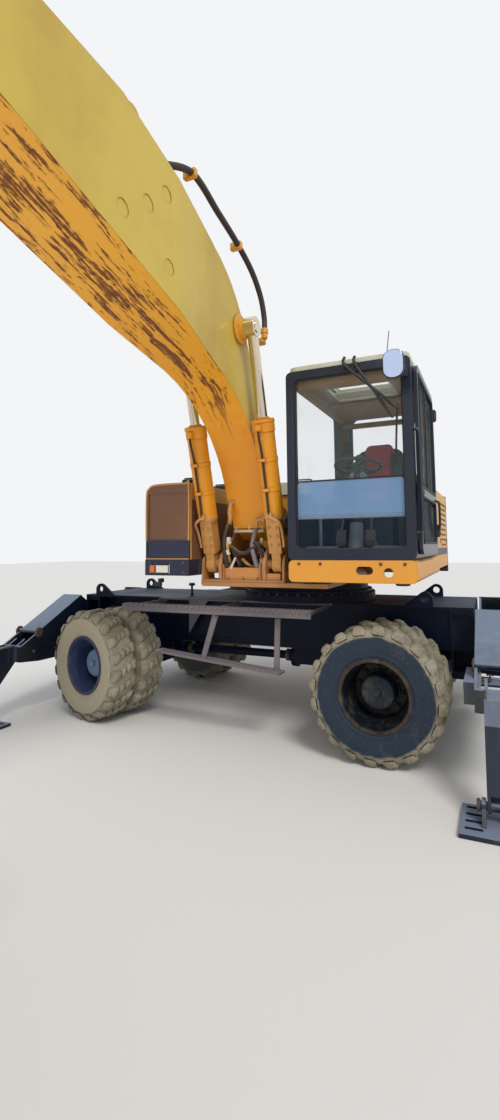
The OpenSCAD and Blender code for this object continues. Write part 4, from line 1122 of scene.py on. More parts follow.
@dataclass
class Wheel:
    """One wheel body: twin tyres with lugs, and the nuts of its rims."""

    corner: str
    side: int
    steered: bool
    wall: str
    cap: str
    disc: str
    lip: str
    radius: float = WHEEL_RADIUS
    spacing: float = 0.33
    track: float = 0.95
    rounds: int = 96
    lugs: int = 20
    lug_foot: float = 0.487
    nuts: int = 10
    nut_reach: float = 0.172
    cap_bolts: int = 8
    cap_reach: float = 0.092
    # Radius and distance from the middle of a tyre's outside, from its bead to its crown
    section: tuple[Flat, ...] = (
        (0.2615, 0.098), (0.264, 0.106), (0.272, 0.112), (0.284, 0.1155), (0.288, 0.1145), (0.292, 0.1165),
        (0.300, 0.1215), (0.304, 0.1245), (0.309, 0.1225), (0.330, 0.129), (0.355, 0.1355), (0.385, 0.1395),
        (0.410, 0.140), (0.436, 0.1385), (0.441, 0.1395), (0.446, 0.1365), (0.462, 0.1305), (0.478, 0.122),
        (0.488, 0.110), (0.493, 0.092), (0.495, 0.05))
    # Shoulder and crown block: distance from the middle, top radius, half width, shift along the tread
    shoulder: tuple[tuple[float, ...], ...] = (
        (0.062, 0.523, 0.030, -0.010), (0.066, 0.525, 0.035, -0.008), (0.092, 0.525, 0.040, 0.0),
        (0.114, 0.519, 0.043, 0.006), (0.128, 0.503, 0.043, 0.009), (0.1385, 0.476, 0.038, 0.011))
    crown: tuple[tuple[float, ...], ...] = (
        (0.008, 0.523, 0.022, -0.040), (0.012, 0.525, 0.028, -0.038), (0.032, 0.525, 0.032, -0.026),
        (0.050, 0.525, 0.030, -0.016), (0.054, 0.523, 0.026, -0.014))
    # Drop below a block's top and half widths from its middle, down its flank
    flank: tuple[Flat, ...] = ((0.017, 1.10), (0.006, 0.92), (0.001, 0.6))

    def placement(self) -> Matrix:
        """Where a wheel drawn about the origin along +Y goes.

        Returns:
            The matrix, which also mirrors the wheels of the right side.
        """
        mirror = Matrix.Diagonal((1, self.side, 1, 1))
        if not self.steered:
            return Matrix.Translation((REAR_X, 0, self.radius)) @ mirror
        pivot = Matrix.Translation((FRONT_X, self.side * KINGPIN_Y, self.radius))
        turn = Matrix.Rotation(math.radians(STEER_DEG), 4, "Z")
        return pivot @ turn @ mirror @ Matrix.Translation((0, -KINGPIN_Y, 0))

    def lug(self, form: Form, middle: float, way: int, turn: float, table: Sequence[tuple]) -> None:
        """Draws one tread block, worn and a little out of line.

        Args:
            form: The mesh that it joins.
            middle: Middle of the tyre along the axle.
            way: Side of the tread, 1 or -1.
            turn: Angle of the block in radians.
            table: Its sections.
        """
        rings = []
        for away, top, half, shift in table:
            foot = min(self.lug_foot, top - 0.012)
            slope = [(foot, 1.30)] + [(top - drop, side) for drop, side in self.flank]
            ring = []
            for reach, side in [(r, -s) for r, s in slope] + [(top, 0.0)] + slope[::-1]:
                angle = turn + (shift * way + half * side) / self.radius
                spot = Vector((reach * math.cos(angle), middle + way * away, reach * math.sin(angle)))
                angle += noise.noise(spot * 9.0 + Vector((7, 3, 1))) * 0.016
                rough = noise.noise(spot * 16.0) * 0.007 + noise.noise(spot * 55.0) * 0.003
                worn = -abs(rough) if reach > foot else rough
                ring.append(spot + Vector((math.cos(angle), 0, math.sin(angle))) * worn)
            rings.append(ring)
        form.loft(rings)

    def tyre(self, form: Form, middle: float) -> None:
        """Draws one tyre about the axle.

        Args:
            form: The mesh that it joins.
            middle: Its middle along the axle.
        """
        outside = [(r, -d) for r, d in self.section] + [(r, d) for r, d in reversed(self.section)]
        turns = [FULL_TURN * k / self.rounds for k in range(self.rounds)]
        form.loft([[(r * math.cos(turn), middle + d, r * math.sin(turn)) for r, d in outside]
                   for turn in turns], closed=True)
        for i in range(self.lugs):
            for way in (1, -1):
                turn = FULL_TURN * (i + (0.25 if way > 0 else 0.75)) / self.lugs
                self.lug(form, middle, way, turn, self.shoulder)
                self.lug(form, middle, way, turn, self.crown)

    def build(self) -> None:
        """Makes the tyres, nuts and valves, and finishes the rims."""
        place = self.placement()
        centre = tuple(place @ Vector((0, self.track, 0)))
        axis = tuple((place.to_3x3() @ Vector(LEFT)).normalized())
        body = f"{self.corner}_wheels"
        form = Form()
        for way in (-0.5, 0.5):
            self.tyre(form, self.track + way * self.spacing)
        form.move(place)
        rubber = TyreRubber(f"{self.corner}_rubber", Slot.TYRE, centre, axis, self.wall)
        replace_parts(form.piece(f"{self.corner}_tyres_dressed", body, rubber, 40), f"{self.corner}_tyres")
        form.bolts((0, self.track + 0.036, 0), LEFT, self.nut_reach, self.nuts, 0.016)
        form.bolts((0, self.track + 0.150, 0), LEFT, self.cap_reach, self.cap_bolts, 0.008, 22.5)
        form.turned([(0.03, 0), (0.034, 0.004), (0.034, 0.012), (0.026, 0.018)],
                    (0, self.track + 0.1745, 0), LEFT, 6)
        form.tube([(0.0, self.track + out, z) for out, z in ((0.05, 0.205), (0.10, 0.212), (0.15, 0.206))],
                  0.006, 8)
        form.move(place)
        paint = RimPaint(f"{self.corner}_rim_paint", Slot.NAVY, centre, axis, self.cap, self.disc, self.lip)
        form.piece(f"{self.corner}_nuts_and_valve", body, paint)
        dress(f"{self.corner}_rims", paint)


@dataclass
class ChassisDress:
    """Bolts, pipes and pins on the chassis, the steps and the axles."""

    deck: float = DECK_Z
    ring_reach: float = 0.655
    ring_bolts: int = 40
    front_end: float = 2.515
    rear_end: float = -1.595
    pipe_y: float = 0.345
    pipe_levels: Flat = (0.98, 0.93)
    clamps: tuple[float, ...] = (-1.1, -0.3, 0.5, 1.3, 2.0)
    axle_z: float = WHEEL_RADIUS
    tooth: float = 0.012
    # Start, height there and slope of both stretches of the bent lower step
    bend: tuple[Point, Point] = ((-0.12, 0.616, 0.0809), (0.56, 0.671, 0.0899))

    def ring(self) -> None:
        """Bolts of the slewing ring, and the knob on the deck."""
        form = Form()
        form.bolts((0, 0, self.deck + 0.07), UP, self.ring_reach, self.ring_bolts, 0.0105)
        form.piece("ring_bolts", "chassis", WORN_STEEL)
        form.turned([(0.022, -0.001), (0.022, 0.02), (0.012, 0.024), (0.012, 0.10), (0.034, 0.104),
                     (0.036, 0.124), (0.024, 0.134)], (1.293, 0.2, self.deck), UP, 20)
        form.piece("deck_knob", "chassis", PLASTIC)

    def pipes(self) -> None:
        """Steel pipes of the legs along both sides of the chassis box, with clamps."""
        form = Form()
        for y in (self.pipe_y, -self.pipe_y):
            for level in self.pipe_levels:
                form.tube([(x, y, level) for x in (self.rear_end + 0.2, -0.9, 0.2, 1.3, 2.2)], 0.011, 8, 3)
            for x in self.clamps:
                form.block((x, y, sum(self.pipe_levels) / 2), (0.02, 0.018, 0.05))
        form.piece("leg_pipes", "chassis", DUSTY_NAVY)

    def hoses(self) -> None:
        """Short hoses from the pipes to the four leg cylinders."""
        form = Form()
        for end, way in ((self.front_end - 0.3, 1), (self.rear_end + 0.25, -1)):
            for side in (1, -1):
                for level in self.pipe_levels:
                    form.tube([(end + way * out, side * y, level - drop) for out, y, drop in (
                        (-0.02, self.pipe_y, 0), (0.06, self.pipe_y, 0), (0.13, 0.35, 0.03),
                        (0.17, 0.36, 0.10))], 0.013, 10)
        form.piece("leg_hoses", "chassis", HOSE)

    def end_plates(self) -> None:
        """Bolts and pin keepers on the end frames that carry the legs."""
        form = Form()
        for end, way in (("front", 1), ("rear", -1)):
            for side in (1, -1):
                x, y, z = LEG_X[end] + way * 0.19, side * 0.38, 0.68
                form.turned([(0.058, 0), (0.058, 0.006), (0.052, 0.009)], (x, y, z), (way, 0, 0), 28)
                form.bolts((x + way * 0.009, y, z), (way, 0, 0), 0.04, 3, 0.009)
        form.piece("leg_pin_keepers", "chassis", WORN_STEEL)

    def steps(self) -> None:
        """Grip teeth and bolts on the steps; the left lower step hangs bent."""
        form = Form()
        for i in range(58):
            x = -0.38 + i * 0.032
            for side in (1, -1):
                form.box((x, side * 1.137 - 0.028, self.deck - 0.001),
                         (x + self.tooth, side * 1.137 + 0.028, self.deck + 0.007), 0.002)
        for i in range(36):
            x = -0.10 + i * 0.033
            start, height, slope = self.bend[0 if x < self.bend[1][0] else 1]
            low = height + (x - start) * slope
            form.box((x, 1.07, low - 0.001), (x + self.tooth, 1.18, low + 0.007), 0.002)
            form.box((x, -1.18, 0.655), (x + self.tooth, -1.07, 0.663), 0.002)
        form.piece("step_grip_teeth", "chassis", RUSTY_STEP)
        for x in (-0.35, 0.545, 1.425):
            for side in (1, -1):
                for reach in (0.6, 1.05):
                    form.bolt((x, side * reach, self.deck - 0.017), UP, 0.011)
        for x, y in ((-0.08, 1.112), (0.48, 1.162)):
            form.bolt((x, y, 1.06), LEFT, 0.011)
        form.piece("step_bolts", "chassis", WORN_STEEL)

    def axles(self) -> None:
        """Cover bolts of both differentials, brake lines and the drive shaft's joints."""
        form = Form()
        for x, way in ((FRONT_X - 0.15, -1), (REAR_X + 0.24, 1)):
            form.bolts((x, 0, self.axle_z), (way, 0, 0), 0.086, 8, 0.008, 10)
        for x in (FRONT_X, REAR_X):
            for side in (1, -1):
                form.tube([(x + out, side * y, z) for out, y, z in (
                    (0.05, 0.12, 0.645), (0.04, 0.25, 0.63), (0.03, 0.45, 0.605), (0.02, 0.62, 0.60))],
                    0.006, 8)
        for x in (0.235, FRONT_X - 0.36, -0.46, REAR_X + 0.28):
            form.turned([(0.04, -0.03), (0.062, -0.02), (0.062, 0.02), (0.04, 0.03)],
                        (x, 0, self.axle_z), AHEAD, 20)
            form.block((x, 0, self.axle_z), (0.012, 0.07, 0.02), 0.004)
        form.piece("axle_fittings", "chassis", WORN_STEEL)

    def build(self) -> None:
        """Makes everything on the chassis."""
        self.ring()
        self.pipes()
        self.hoses()
        self.end_plates()
        self.steps()
        self.axles()


@dataclass
class LegDress:
    """What is fastened on one outrigger leg."""

    corner: str
    middle: float
    side: int
    half: float = 0.13
    pad_y: float = 1.79
    knee: Flat = (1.188, 0.803)

    def build(self) -> None:
        """Pins, keepers and bolts of the leg, a guard for its pipes, and the ribs of its pad."""
        form = Form()
        x, s = self.middle, self.side
        knee_y, knee_z = s * self.knee[0], self.knee[1]
        for way in (1, -1):
            out = (way, 0, 0)
            form.disc((x + way * 0.105, s * self.pad_y, 0.115), out, 0.036, 18, 0.016)
            form.disc((x + way * self.half, knee_y, knee_z), out, 0.05, 20)
            form.bolts((x + way * (self.half + 0.011), knee_y, knee_z), out, 0.03, 3, 0.007)
            for y, z in ((0.66, 0.60), (0.95, 0.60), (1.25, 0.62)):
                form.bolt((x + way * self.half, s * y, z), out, 0.012)
            form.tube([(x + way * a, s * y, z) for a, y, z in (
                (0.06, 1.42, 0.685), (0.06, 1.46, 0.70), (0.058, 1.56, 0.695), (0.056, 1.63, 0.69))],
                0.009, 8)
        form.piece(f"{self.corner}_leg_pins", f"{self.corner}_leg", WORN_STEEL)
        for k in range(4):
            for way in (1, -1):
                form.block((x + way * 0.14, s * self.pad_y - 0.145 + k * 0.09, 0.02925),
                           (0.05, 0.005, 0.00475))
        form.piece(f"{self.corner}_pad_ribs", f"{self.corner}_leg", DUSTY_NAVY)


@dataclass
class UpperDress:
    """Pins, pipes and hoses at the boom's foot, and what is bolted on the platforms."""

    foot: Flat = BOOM_FOOT
    cylinder: Flat = BOOM_CYLINDER_FOOT
    base: float = 1.339
    motor_at: Point = (0.305, 0.62, 1.34)
    # Radius and points of each pipe in front of the boom's foot
    pipes: tuple[tuple[float, tuple[Point, ...]], ...] = (
        (0.016, ((0.455, 0.80, 1.40), (0.455, 0.93, 1.52), (0.452, 0.98, 1.66), (0.452, 0.96, 1.72))),
        (0.014, ((0.14, 0.80, 1.40), (0.138, 0.90, 1.50), (0.138, 0.93, 1.62), (0.145, 0.90, 1.70))),
        (0.014, ((0.20, 0.66, 1.42), (0.21, 0.86, 1.45), (0.27, 0.93, 1.50), (0.33, 0.92, 1.54),
                 (0.38, 0.84, 1.48), (0.385, 0.70, 1.43))))
    # Radius and points of each hose there
    hoses: tuple[tuple[float, tuple[Point, ...]], ...] = (
        (0.019, ((0.50, 0.68, 1.45), (0.46, 0.92, 1.62), (0.40, 0.985, 1.645), (0.32, 1.0, 1.60),
                 (0.25, 1.0, 1.605), (0.19, 0.985, 1.65), (0.13, 0.925, 1.65), (0.10, 0.76, 1.47))),
        (0.019, ((0.47, 0.66, 1.46), (0.43, 0.88, 1.56), (0.37, 0.96, 1.56), (0.34, 0.93, 1.48),
                 (0.33, 0.80, 1.42))),
        (0.017, ((0.12, 0.70, 1.43), (0.10, 0.90, 1.50), (0.115, 0.975, 1.60), (0.16, 0.985, 1.685),
                 (0.24, 0.93, 1.66), (0.26, 0.74, 1.47))),
        (0.017, ((0.06, 0.60, 1.5), (0.045, 0.86, 1.60), (0.02, 0.98, 1.72), (-0.005, 1.0, 1.80),
                 (-0.03, 1.0, 1.88))))
    # Two ends and radius of each pale fitting on the pipes and the guard
    fittings: tuple[tuple[Point, Point, float], ...] = (
        ((0.452, 0.965, 1.68), (0.452, 0.955, 1.745), 0.024),
        ((0.453, 0.972, 1.59), (0.452, 0.985, 1.63), 0.021),
        ((0.43, 0.968, 1.455), (0.368, 0.985, 1.56), 0.012),
        ((0.14, 0.905, 1.50), (0.138, 0.92, 1.55), 0.022),
        ((0.138, 0.93, 1.60), (0.142, 0.925, 1.65), 0.020),
        ((0.145, 0.905, 1.69), (0.15, 0.89, 1.73), 0.018))

    def foot_pins(self) -> None:
        """Keepers of the boom's foot pin and of the cylinders' pins."""
        form = Form()
        for way in (1, -1):
            for away, pin, radius, steps, reach, count, size in (
                    (0.2555, self.foot, 0.085, 32, 0.062, 4, 0.011),
                    (0.42, self.cylinder, 0.07, 28, 0.05, 3, 0.010)):
                x = BOOM_X + way * away
                form.disc((x, *pin), (way, 0, 0), radius, steps, lip=0.007)
                form.bolts((x + way * 0.011, *pin), (way, 0, 0), reach, count, size)
        form.piece("foot_pin_keepers", "upper", WORN_STEEL)

    def pipework(self) -> None:
        """Pipes and hoses in front of the slewing motor, with their couplings."""
        form = Form()
        for radius, points in self.pipes:
            form.tube(points, radius)
        form.piece("foot_pipes", "upper", TAN_PIPE)
        form, ends = Form(), Form()
        for radius, points in self.hoses:
            form.tube(points, radius)
            profile = [(radius * share, d) for share, d in (
                (1.05, -0.01), (1.45, 0), (1.45, 0.03), (1.2, 0.034), (1.2, 0.075), (1.05, 0.08))]
            for a, b in ((points[0], points[1]), (points[-1], points[-2])):
                ends.turned(profile, a, (Vector(b) - Vector(a)).normalized(), 6)
        form.piece("foot_hoses", "upper", HOSE)
        ends.piece("foot_couplings", "upper", BRIGHT_STEEL)
        form = Form()
        for a, b, radius in self.fittings:
            form.bar(a, b, radius, 14)
            form.bar(a, Vector(a) + (Vector(b) - Vector(a)) * 0.35, radius * 1.3, 6)
        form.piece("foot_fittings", "upper", BRIGHT_STEEL)

    def motor(self) -> None:
        """Slewing motor and its gearbox on the base plate, behind the hoses."""
        form = Form()
        x, y, z = self.motor_at
        form.turned([(0.15, 0), (0.15, 0.03), (0.125, 0.035), (0.125, 0.09), (0.10, 0.10), (0.10, 0.14),
                     (0.085, 0.15), (0.085, 0.19), (0.06, 0.20)], self.motor_at, UP, 40)
        form.bolts((x, y, z + 0.03), UP, 0.138, 12, 0.009)
        form.bolts((x, y, z + 0.199), UP, 0.05, 4, 0.008)
        form.block((x, y, z + 0.12), (0.18, 0.05, 0.04), 0.01)
        form.piece("slewing_motor", "upper", CASTING)

    def guard(self) -> None:
        """Upright guard bars and a step plate in front of the hoses."""
        form = Form()
        for x in (0.49, 0.13):
            form.box((x - 0.006, 0.86, self.base), (x + 0.006, 0.995, 1.50))
        form.box((0.11, 0.96, self.base), (0.51, 0.972, 1.47))
        form.box((-0.06, 0.96, self.base), (0.075, 0.972, 1.42))
        for x in (0.16, 0.30, 0.45):
            form.bolt((x, 0.972, 1.37), LEFT, 0.009)
        form.piece("foot_guard", "upper", FOOT_PAINT)

    def platform(self) -> None:
        """Rubber mounts of the cab and bolts of its skirt."""
        form = Form()
        for x in (-1.12, -0.36):
            for y in (-0.3, 1.08):
                form.turned([(0.05, 0), (0.058, 0.012), (0.058, 0.03), (0.045, 0.04)], (x, y, 1.345), UP, 20)
        form.piece("cab_mounts", "upper", SEAL)
        for x in (-1.16, -0.98, -0.5, -0.32):
            form.bolt((x, 1.2195, 1.515), LEFT, 0.009)
        for x in (0.80, 1.17):
            for z in (1.43, 1.52):
                form.bolt((x, 1.1795, z), LEFT, 0.008)
        form.piece("skirt_bolts", "upper", WORN_STEEL)

    def build(self) -> None:
        """Makes everything about the boom's foot and the platforms."""
        self.foot_pins()
        self.pipework()
        self.motor()
        self.guard()
        self.platform()


@dataclass
class BoxDress:
    """Right-hand box: edges, latches, caps and lamps."""

    left: float = 0.745
    right: float = 1.22
    front: float = 1.170
    # Lowest and highest corner of the lamp and of the indicator
    lamp: tuple[Flat, Flat] = ((0.952, 1.428), (1.079, 1.494))
    indicator: tuple[Flat, Flat] = ((1.097, 1.427), (1.148, 1.495))
    lens_y: float = 1.1995

    def trim(self) -> None:
        """Edges, latches and filler caps of the box."""
        form = Form()
        x0, x1 = self.left, self.right
        edge = [(x0 + 0.008, 1.72), (x0 + 0.008, 2.235), (x0 + 0.05, 2.244), (1.10, 2.244), (1.185, 2.215),
                (1.214, 2.13), (1.214, 1.72)]
        form.tube(raised(edge, Axis.Y, self.front), 0.009, 8, 5)
        form.box((x0 + 0.004, self.front - 0.01, 1.547), (x1 - 0.004, self.front + 0.0045, 1.558))
        for y in (0.1, 0.62):
            form.box((x1 - 0.004, y - 0.008, 1.60), (x1 + 0.0005, y + 0.008, 2.10), 0.001)
        form.piece("box_edges", "upper", TAN_PIPE)
        for y in (-0.35, 0.36, 0.9):
            form.turned([(0.03, 0), (0.03, 0.006), (0.022, 0.008), (0.012, 0.02)],
                        (x1 - 0.006, y, 1.85), AHEAD, 18)
        for y in (-0.2, 0.3, 0.76):
            form.box((x1 - 0.004, y - 0.03, 1.66), (x1 + 0.006, y + 0.03, 1.69))
        form.piece("box_latches", "upper", PLASTIC)
        for y in (0.2, 0.85):
            form.turned([(0.075, 0), (0.078, 0.004), (0.078, 0.03), (0.06, 0.04), (0.02, 0.042)],
                        (0.93, y, 2.283), UP, 32)
            form.box((0.87, y - 0.01, 2.315), (0.99, y + 0.01, 2.34), 0.004)
        form.piece("filler_caps", "upper", PLASTIC)

    def lamps(self) -> None:
        """Front lamp and indicator, their rubber rims, and the bracket below the box."""
        for name, corners, depth, finish in (("front_lamp_lens", self.lamp, 0.0095, WHITE_LENS),
                                             ("front_indicator_lens", self.indicator, 0.0125, AMBER_LENS)):
            form = Form()
            form.plate(*corners, 0.006, Axis.Y, (self.lens_y, self.lens_y + depth), 0.003)
            form.piece(name, "upper", finish)
        form = Form()
        for corners in (self.lamp, self.indicator):
            form.seal(*corners, 0.008, Axis.Y, 1.2, 0.005)
        form.box((1.045, 1.12, 1.335), (1.075, 1.185, 1.372), 0.004)
        form.box((1.045, 1.150, 1.300), (1.122, 1.188, 1.338), 0.006)
        form.piece("lamp_rims_and_bracket", "upper", SEAL)

    def build(self) -> None:
        """Makes the trim of the box and its lamps."""
        self.trim()
        self.lamps()


@dataclass
class RearDress:
    """Engine housings, hood and counterweight: louvres, grilles, latches and lamps."""

    half: float = 1.22
    slats: int = 9
    slat_low: float = 1.6525
    slat_pitch: float = 0.06

    def louvres(self) -> None:
        """Slanted slats over the vents of both housings."""
        form = Form()
        for way in (1, -1):
            x = way * (self.half - 0.012)
            for i in range(self.slats):
                z = self.slat_low + i * self.slat_pitch
                outline = [(x + out * way, z + rise) for out, rise in (
                    (-0.012, -0.013), (0.008, -0.019), (0.010, -0.016), (-0.010, 0.012), (-0.012, 0.012))]
                form.prism(outline, Axis.Y, -1.80, -1.15)
        form.piece("housing_louvres", "upper", HOUSING_PAINT)

    def doors(self) -> None:
        """Seams, latches and hinges of the service doors."""
        form = Form()
        for way in (1, -1):
            x = way * self.half
            seam = sorted((x, x - way * 0.003))
            latch = sorted((x, x + way * 0.004))
            for y in (-1.87, -1.08, -0.56):
                form.box((seam[0], y - 0.004, 1.60), (seam[1], y + 0.004, 2.22), 0.001)
            for y in (-1.12, -0.62):
                form.box((latch[0] - 0.001, y - 0.02, 1.86), (latch[1], y + 0.02, 1.94), 0.004)
            for y in (-1.83, -1.04):
                for z in (1.70, 2.12):
                    form.bar((x, y, z - 0.03), (x, y, z + 0.03), 0.006, 10)
        form.piece("housing_latches", "upper", SEAL)

    def hood(self) -> None:
        """Handle and grille bars of the hood."""
        form = Form()
        for i in range(8):
            y = -1.685 + i * 0.06
            form.box((-0.41, y - 0.004, 2.386), (-0.05, y + 0.004, 2.3985), 0.002)
        for x in (-0.32, -0.14):
            form.box((x - 0.004, -1.71, 2.384), (x + 0.004, -1.24, 2.392), 0.002)
        form.tube([(x, -0.60, z) for x, z in ((0.15, 2.398), (0.15, 2.43), (0.22, 2.436), (0.35, 2.436),
                                              (0.42, 2.43), (0.42, 2.398))], 0.009, 10)
        form.piece("hood_grille_and_handle", "hood", PLASTIC)

    def lamps(self) -> None:
        """Rear lamps in the counterweight's corners, its lifting pockets' rims and its lower edge."""
        form = Form()
        for x in (1.02, -1.02):
            form.plate((x - 0.07, 1.62), (x + 0.07, 1.70), 0.012, Axis.Y, (-2.122, -2.08), 0.004)
        form.piece("rear_lamps", "upper", RED_LENS)
        angles = [FULL_TURN * k / 16 for k in range(16)]
        for x in (0.7, -0.7):
            form.tube([(x + 0.042 * math.cos(a), -2.08 + 0.042 * math.sin(a), 2.27) for a in angles],
                      0.006, 8, 1, closed=True)
        form.box((-1.215, -1.9015, 1.34), (1.215, -1.897, 1.352), 0.001)
        form.piece("counterweight_trim", "upper", WORN_STEEL)

    def build(self) -> None:
        """Makes everything at the rear."""
        self.louvres()
        self.doors()
        self.hood()
        self.lamps()


@dataclass
class CabDress:
    """Seals, wipers, mirror, handles and trim of the cab."""

    low: Point = CAB_LOW
    high: Point = CAB_HIGH
    split: float = PANE_SPLIT
    window_top: float = 3.045
    mirror: Point = (-1.158, 1.453, 2.991)
    mirror_half: Flat = (0.078, 0.110)
    mirror_corner: float = 0.07
    mirror_rim: float = 0.007

    def seals(self) -> None:
        """Rubber round all windows of the shell and of the door."""
        x0, y0, z0 = self.low
        x1, y1, z1 = self.high
        top = self.window_top
        form = Form()
        form.seal((x0 + 0.07, z0 + 0.085), (x1 - 0.07, z1 - 0.07), 0.05, Axis.Y, y1 - 0.028, 0.011)
        form.seal((x0 + 0.16, 2.33), (x1 - 0.16, top), 0.09, Axis.Y, y0 + 0.006, 0.014)
        form.seal((x0 + 0.16, 2.33), (x1 - 0.16, top), 0.09, Axis.Y, y0 + LINING)
        form.seal((y0 + 0.14, 2.10), (y1 - 0.11, top), 0.06, Axis.X, x1 - 0.006)
        form.seal((y0 + 0.09, 2.25), (-0.08, top), 0.05, Axis.X, x0 + 0.004)
        form.seal((0.02, 1.615), (1.09, 3.05), 0.07, Axis.X, x0 + 0.012, 0.010)
        form.box((x0 + 0.075, y1 - 0.046, self.split - 0.006),
                 (x1 - 0.075, y1 - 0.030, self.split + 0.006), 0.002)
        form.piece("window_seals", "upper", SEAL)
        for bottom, above in ((2.12, 3.01), (1.675, 2.04)):
            form.seal((0.06, bottom), (1.05, above), 0.06, Axis.X, x0 - 0.033, 0.010)
        form.box((x0 - 0.030, 0.55, 2.125), (x0 - 0.018, 0.575, 3.005))
        form.piece("door_seals", "door", SEAL)

    def door(self) -> None:
        """Door handle and grab rails."""
        form = Form()
        x = self.low[0] - 0.034
        form.plate((0.98, 2.05), (1.10, 2.11), 0.014, Axis.X, (x - 0.012, x + 0.004), 0.004)
        form.tube([(x + out, 0.05, z) for out, z in (
            (0.002, 1.80), (-0.03, 1.82), (-0.034, 1.95), (-0.03, 2.05), (0.002, 2.07))], 0.011, 10)
        form.piece("door_handle", "door", PLASTIC)
        form.tube([(self.low[0] + out, 1.165, z) for out, z in (
            (0.004, 1.75), (-0.035, 1.78), (-0.04, 2.0), (-0.04, 2.3), (-0.035, 2.52), (0.004, 2.55))], 0.013)
        form.piece("cab_grab_rail", "upper", NAVY)

    def wipers(self) -> None:
        """Two wiper arms from the roof's front edge, and the blade across the upper pane."""
        form = Form()
        y, pivot_z = self.high[1], 3.10
        for x, top, end_x, end_z in ((-0.748, 3.17, -1.146, 2.708), (-0.83, 3.165, -1.110, 2.640)):
            form.turned([(0.022, 0), (0.022, 0.03), (0.016, 0.036)], (x, y - 0.002, pivot_z), LEFT, 16)
            form.tube([(x, y + 0.026, top), (x, y + 0.028, pivot_z),
                       (x + (end_x - x) * 0.5, y + 0.03, (pivot_z + end_z) / 2), (end_x, y + 0.016, end_z)],
                      0.012, 8, 5)
        form.tube([(x, y + out, z) for x, out, z in (
            (-1.146, 0.012, 2.74), (-1.135, 0.006, 2.60), (-1.125, 0.006, 2.40), (-1.12, 0.008, 2.27))],
            0.008, 8)
        form.piece("wipers", "upper", PLASTIC)

    def mirrors(self) -> None:
        """The mirror in front of the cab's left corner, on its arm."""
        x, y, z = self.mirror
        half_x, half_z = self.mirror_half
        form = Form()
        form.plate((x - half_x, z - half_z), (x + half_x, z + half_z), self.mirror_corner,
                   Axis.Y, (y - 0.03, y), 0.008, 8)
        form.box((-1.23, 1.2203, 2.95), (-1.19, 1.24, 3.04), 0.004)
        form.tube([(-1.21, 1.235, 2.995), (-1.21, 1.33, 2.997), (-1.208, 1.41, 2.995),
                   (-1.195, 1.428, 2.994)], 0.010)
        for level in (2.965, 3.025):
            form.bolt((-1.21, 1.2395, level), LEFT, 0.007)
        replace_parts(form.piece("mirror_case_and_arm", "upper", NAVY), "cab_mirror")
        half_x, half_z = (half - self.mirror_rim for half in self.mirror_half)
        form.plate((x - half_x, z - half_z), (x + half_x, z + half_z), self.mirror_corner - self.mirror_rim,
                   Axis.Y, (y - 0.002, y + 0.002), 0.001, 8)
        form.piece("mirror_glass_plate", "upper", MIRROR)

    def roof(self) -> None:
        """Ribs and the hatch frame of the roof, and an aerial."""
        form = Form()
        x0, x1, z = self.low[0], self.high[0], self.high[2]
        form.seal((x0 + 0.235, 0.355), (x1 - 0.235, 0.895), 0.03, Axis.Z, z + 0.041)
        for y in (-0.25, -0.05, 0.15):
            form.box((x0 + 0.14, y - 0.02, z + 0.039), (x1 - 0.14, y + 0.02, z + 0.046))
        form.piece("roof_ribs", "upper", CREAM)
        form.tube([(-1.02, 0.95, z + 0.04), (-1.025, 0.93, z + 0.12), (-1.045, 0.90, z + 0.34)], 0.0035, 8)
        form.turned([(0.018, 0), (0.018, 0.012), (0.009, 0.03)], (-1.02, 0.95, z + 0.038), UP, 14)
        form.piece("aerial", "upper", PLASTIC)

    def lining(self) -> None:
        """Inner trim: header beams, pillar vents, the hatch blind and the rear shelf."""
        x0, x1 = self.low[0] + CAB_WALL, self.high[0] - CAB_WALL
        y0, z1 = self.low[1] + CAB_WALL, self.high[2] - CAB_WALL
        form = Form()
        form.box((x0 + 0.002, y0 + 0.001, 2.925), (x1 - 0.002, y0 + 0.05, 2.975), 0.012)
        form.box((x0 + 0.002, y0 + 0.03, z1 - 0.05), (x1 - 0.002, 0.30, z1 - 0.001), 0.014)
        for x in (x0 + 0.001, x1 - 0.046):
            form.box((x, y0 + 0.05, z1 - 0.085), (x + 0.045, 1.13, z1 - 0.001), 0.014)
        form.box((x0 + 0.04, 0.93, z1 - 0.045), (x1 - 0.04, 1.12, z1 - 0.001), 0.014)
        form.piece("cab_lining", "upper", TAN_LINING)
        form.seal((x0 + 0.175, 0.345), (x1 - 0.175, 0.905), 0.04, Axis.Z, z1 + 0.004)
        form.box((x0 + 0.17, 0.36, z1 + 0.012), (x1 - 0.17, 0.58, z1 + 0.018), 0.002)
        form.piece("hatch_blind", "upper", CREAM)
        span = (y0 - 0.001, y0 + 0.014)
        for x in (x0 + 0.035, x1 - 0.095):
            form.plate((x, 2.66), (x + 0.06, 2.80), 0.01, Axis.Y, span, 0.003)
            form.plate((x + 0.01, 2.46), (x + 0.05, 2.57), 0.01, Axis.Y, span, 0.003)
        form.box((x0 + 0.01, y0 + 0.001, 2.17), (x1 - 0.01, y0 + 0.19, 2.30), 0.02)
        form.piece("vents_and_shelf", "upper", PLASTIC)

    def build(self) -> None:
        """Makes everything on the cab's shell and door."""
        self.seals()
        self.door()
        self.wipers()
        self.mirrors()
        self.roof()
        self.lining()


